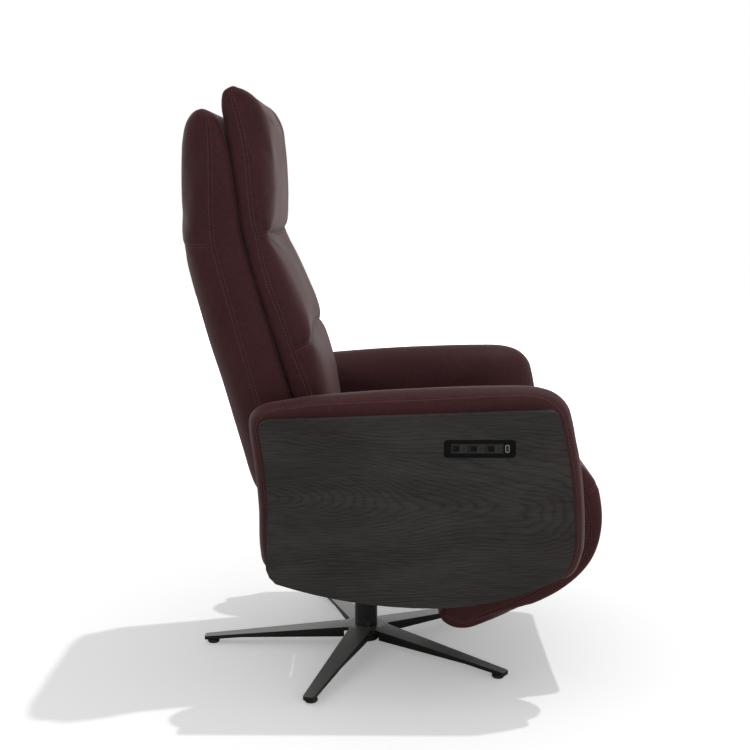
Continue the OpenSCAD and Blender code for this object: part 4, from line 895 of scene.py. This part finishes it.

# %% [markdown]
# ## What moves with what
# The seat cushion rides on the seat, and the leg pad on the leg rest. The covers of the back are baked in place
# and ride on no body.

# %% Rides, and covers baked in place
for pair, body in ((seat, "seat"), (legs, "legs")):
    for one in pair:
        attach(one, body)
start, end = turned(back_from, lean, [(432, 26.5)])[0], turned(head_from, 0, [(45, 0)])[0]
for one in (*front, *rear):
    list(start)
    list(end)
    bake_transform(one)
print("the covers bend over", round(float(np.linalg.norm(end - start)) / MM), "mm")

# %% [markdown]
# ## Arm pads
# An arm is a flat box that is padded on top, in front and behind. Its skin is one outline, seen from the
# side, that is carried across the arm. A profile of (mm from the inner face, mm drawn in) says how far it
# draws in on the way: 110 mm at the inner face, nothing in the middle, and 15 mm at the double seam beside
# the oak panel. Drawing in goes straight towards the outline's middle. A box with rounded edges would be
# simpler, but the roll over the inner top edge is far wider than the edge beside the oak.

# %% The arm's outline and profile
arm_outline = [
    (-320, 246), (-274, 233), (-227, 223), (-179, 216.5), (-130, 215), (-70, 217), (-10, 223.2),
    (49, 233.3), (107, 247.5), (150, 258.5), (178, 266), (190.3, 273.4), (198, 286.4), (201, 305),
    (204, 395), (207.4, 442), (212.4, 490), (219, 539), (220, 559), (218, 569.6), (213.2, 578.6),
    (205.3, 586), (194, 592), (180, 596.2), (163, 599), (102, 609), (39.3, 615), (-27, 620),
    (-96.8, 624), (-170, 627), (-230, 628.6), (-276, 629),
    (-299.3, 628.9), (-321.5, 627.5), (-341, 623.9), (-358, 618), (-372, 609.2), (-383, 598.2),
    (-391.3, 584.8), (-396, 569), (-406, 524), (-412.6, 493), (-417.8, 461), (-421.8, 427), (-424.6, 391),
    (-426, 354), (-426, 329), (-423.5, 304), (-417, 282), (-408.5, 264.5), (-396, 254), (-372, 252)]
arm_profile = [(0, 110), (0.4, 92), (3, 73), (8, 55), (15, 40), (24, 27), (34.5, 15.5), (46, 7), (58, 1.5),
               (69, -0.5), (80, 2), (91, 6.5), (98.5, 11.5), (103, 16.5), (106.3, 23), (108.6, 31),
               (109.7, 40), (110, 60)]
arm_in, arm_wide, seam_at = 246.5, 110.0, np.array([102.2, 15.3])
print("the arm's outline has", len(arm_outline), "points, and its profile", len(arm_profile))


# %% Rings of the arm
start_y, low_z = -320, 300  # the outline starts at this y, on its lower side
middle = np.array([-110.0, 430.0])
shares = (0.25, 0.5, 0.75)  # rings that fill a flat face, as shares of its size


def arm_grid(columns=250, rows=64):
    """Rings of the arm, from the middle of the inner face to the middle of the outer one: a point P0 of the
    outline with middle C moves to C + (P0 - C) * (1 - inset / |P0 - C|). Returns them and the double seam's
    ring."""
    loop = through(arm_outline[-2:] + arm_outline + arm_outline[:2], FINE)
    from_start = np.abs(loop[:, 0] - start_y) + (loop[:, 1] > low_z) * 999
    first = np.argmin(from_start[:FINE // 2 + 1])
    last = FINE - 1 - np.argmin(from_start[::-1][:FINE // 2])
    loop = through(loop[first:last + 1], columns + 1)[:-1]
    spoke = loop - middle
    reach = np.linalg.norm(spoke, axis=1, keepdims=True)
    profile = through(arm_profile, rows)
    steps = [(0.0, 70, share) for share in shares] + [(across, inset, 1.0) for across, inset in profile]
    steps += [(arm_wide, 60, share) for share in shares[::-1]]
    grid = np.zeros((len(steps), columns, 3))
    for ring, (across, inset, share) in zip(grid, steps):
        ring[:, 0] = (arm_in + across) * MM
        ring[:, 1:] = (middle + spoke * (1 - inset / reach) * share) * MM
    return grid, len(shares) + int(np.argmin(np.linalg.norm(profile - seam_at, axis=1)))


print("the double seam is ring", arm_grid()[1], "of", len(arm_grid()[0]))


# %% Make the arms
first_free = 14  # the ring from which the stuffing may move the cover


def make_arm(sign, side, cap_mm=4.0):
    """One arm pad with its double seam; sign is -1 for the sitter's right arm."""
    grid, row = arm_grid()
    piece, number = skin("arm_pad_" + side + "_leather", grid * (sign, 1, 1), closed=True)
    held = np.ones(len(piece.data.vertices))
    held[number[first_free:row]] = 0
    moved = stuff(piece, held, cap_mm, pressure=2.5)
    push = np.zeros(len(piece.data.vertices))
    push[number[[row - 2, row + 2]]] = 0.4
    push[number[row]] = seam_push
    raise_skin(piece, push)
    smooth_skin(piece)
    around = np.linspace(0, grid.shape[1] - 1e-3, FINE)
    step = np.linalg.norm(grid[row + 1, 0] - grid[row, 0]) / MM
    paths = [on_skin(piece, number, np.full(FINE, row + d / step), around) for d in (-3.0, 3.0)]
    seams = stitches("arm_pad_" + side + "_stitches", paths)
    piece.data.materials.append(burgundy_leather)
    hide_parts("arm_pad_" + side)
    for one in (piece, seams):
        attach(one, "seat")
    print("arm", side, "has", len(piece.data.polygons), "faces; its leather moved", round(moved, 1), "mm")


make_arm(-1, "right")
make_arm(1, "left")

# %% [markdown]
# ## Floor, light and background
# The photograph is a cut-out on white with one soft-edged shadow that falls to the left and towards the
# camera. The world is a plain soft box. One sun, high above the front and the far side, draws that shadow,
# and a weak, wide lamp low in front, on the camera's side, lightens what faces the camera. Camera, mirror
# and glass rays see the world as white, and the floor glows a little for the camera, more so further out,
# until it is white too.

# %% Floor
floor_mesh = bpy.data.meshes.new("studio_floor")
floor_mesh.from_pydata([(-9, -9, 0), (9, -9, 0), (9, 9, 0), (-9, 9, 0)], [], [(0, 1, 2, 3)])
floor = bpy.data.objects.new("studio_floor", floor_mesh)
scene.collection.objects.link(floor)
floor_material, floor_tree, _ = finish_material("pale_floor")
straight = add(floor_tree, "LightPath").outputs["Is Camera Ray"]
direct = add(floor_tree, "BsdfDiffuse", {"Color": (1, 1, 1, 1)})
spot = add(floor_tree, "TexCoord").outputs["Object"]
apart = add(floor_tree, "VectorMath", {0: spot}, operation="LENGTH").outputs["Value"]
glow_level = add(floor_tree, "MapRange", {"Value": apart, "From Min": 1.2, "From Max": 3.0, "To Min": 0.24,
                                          "To Max": 1.0}).outputs["Result"]
glow = add(floor_tree, "Emission", {"Color": (1, 1, 1, 1), "Strength": glow_level})
lifted = add(floor_tree, "AddShader", {0: direct.outputs[0], 1: glow.outputs[0]})
plain = add(floor_tree, "BsdfDiffuse", {"Color": linear("#dcdcdc")})
mixed = add(floor_tree, "MixShader", {0: straight, 1: plain.outputs[0], 2: lifted.outputs[0]})
floor_tree.links.new(mixed.outputs[0], floor_tree.nodes["Material Output"].inputs["Surface"])
floor.data.materials.append(floor_material)
print("floor laid, for the pictures only")

# %% World and lamp
world = bpy.data.worlds.new("studio")
scene.world = world
world.use_nodes = True
sky = world.node_tree
back_light = sky.nodes["Background"]
rays = add(sky, "LightPath").outputs
seen_by = rays["Is Camera Ray"]
for kind in ("Is Glossy Ray", "Is Transmission Ray"):
    seen_by = add(sky, "Math", {0: seen_by, 1: rays[kind]}, operation="MAXIMUM").outputs[0]
level = add(sky, "MapRange", {"Value": seen_by, "To Min": 0.55, "To Max": 1.0})
back_light.inputs["Color"].default_value = (1, 1, 1, 1)
sky.links.new(level.outputs["Result"], back_light.inputs["Strength"])

lamp = bpy.data.objects.new("key_lamp", bpy.data.lights.new("key_lamp", "SUN"))
lamp.data.energy = 0.88
lamp.data.angle = math.radians(1.2)
lamp.rotation_euler = Vector((-0.16, 0.27, -1)).to_track_quat("-Z", "Y").to_euler()
scene.collection.objects.link(lamp)
fill = bpy.data.objects.new("fill_light", bpy.data.lights.new("fill_light", "AREA"))
fill.data.energy = 34
fill.data.size = 3.0
fill.location = (-4.0, -1.8, 1.0)
fill.rotation_euler = (Vector((0, 0, 0.6)) - fill.location).to_track_quat("-Z", "Y").to_euler()
scene.collection.objects.link(fill)
print("world and lamps are set")
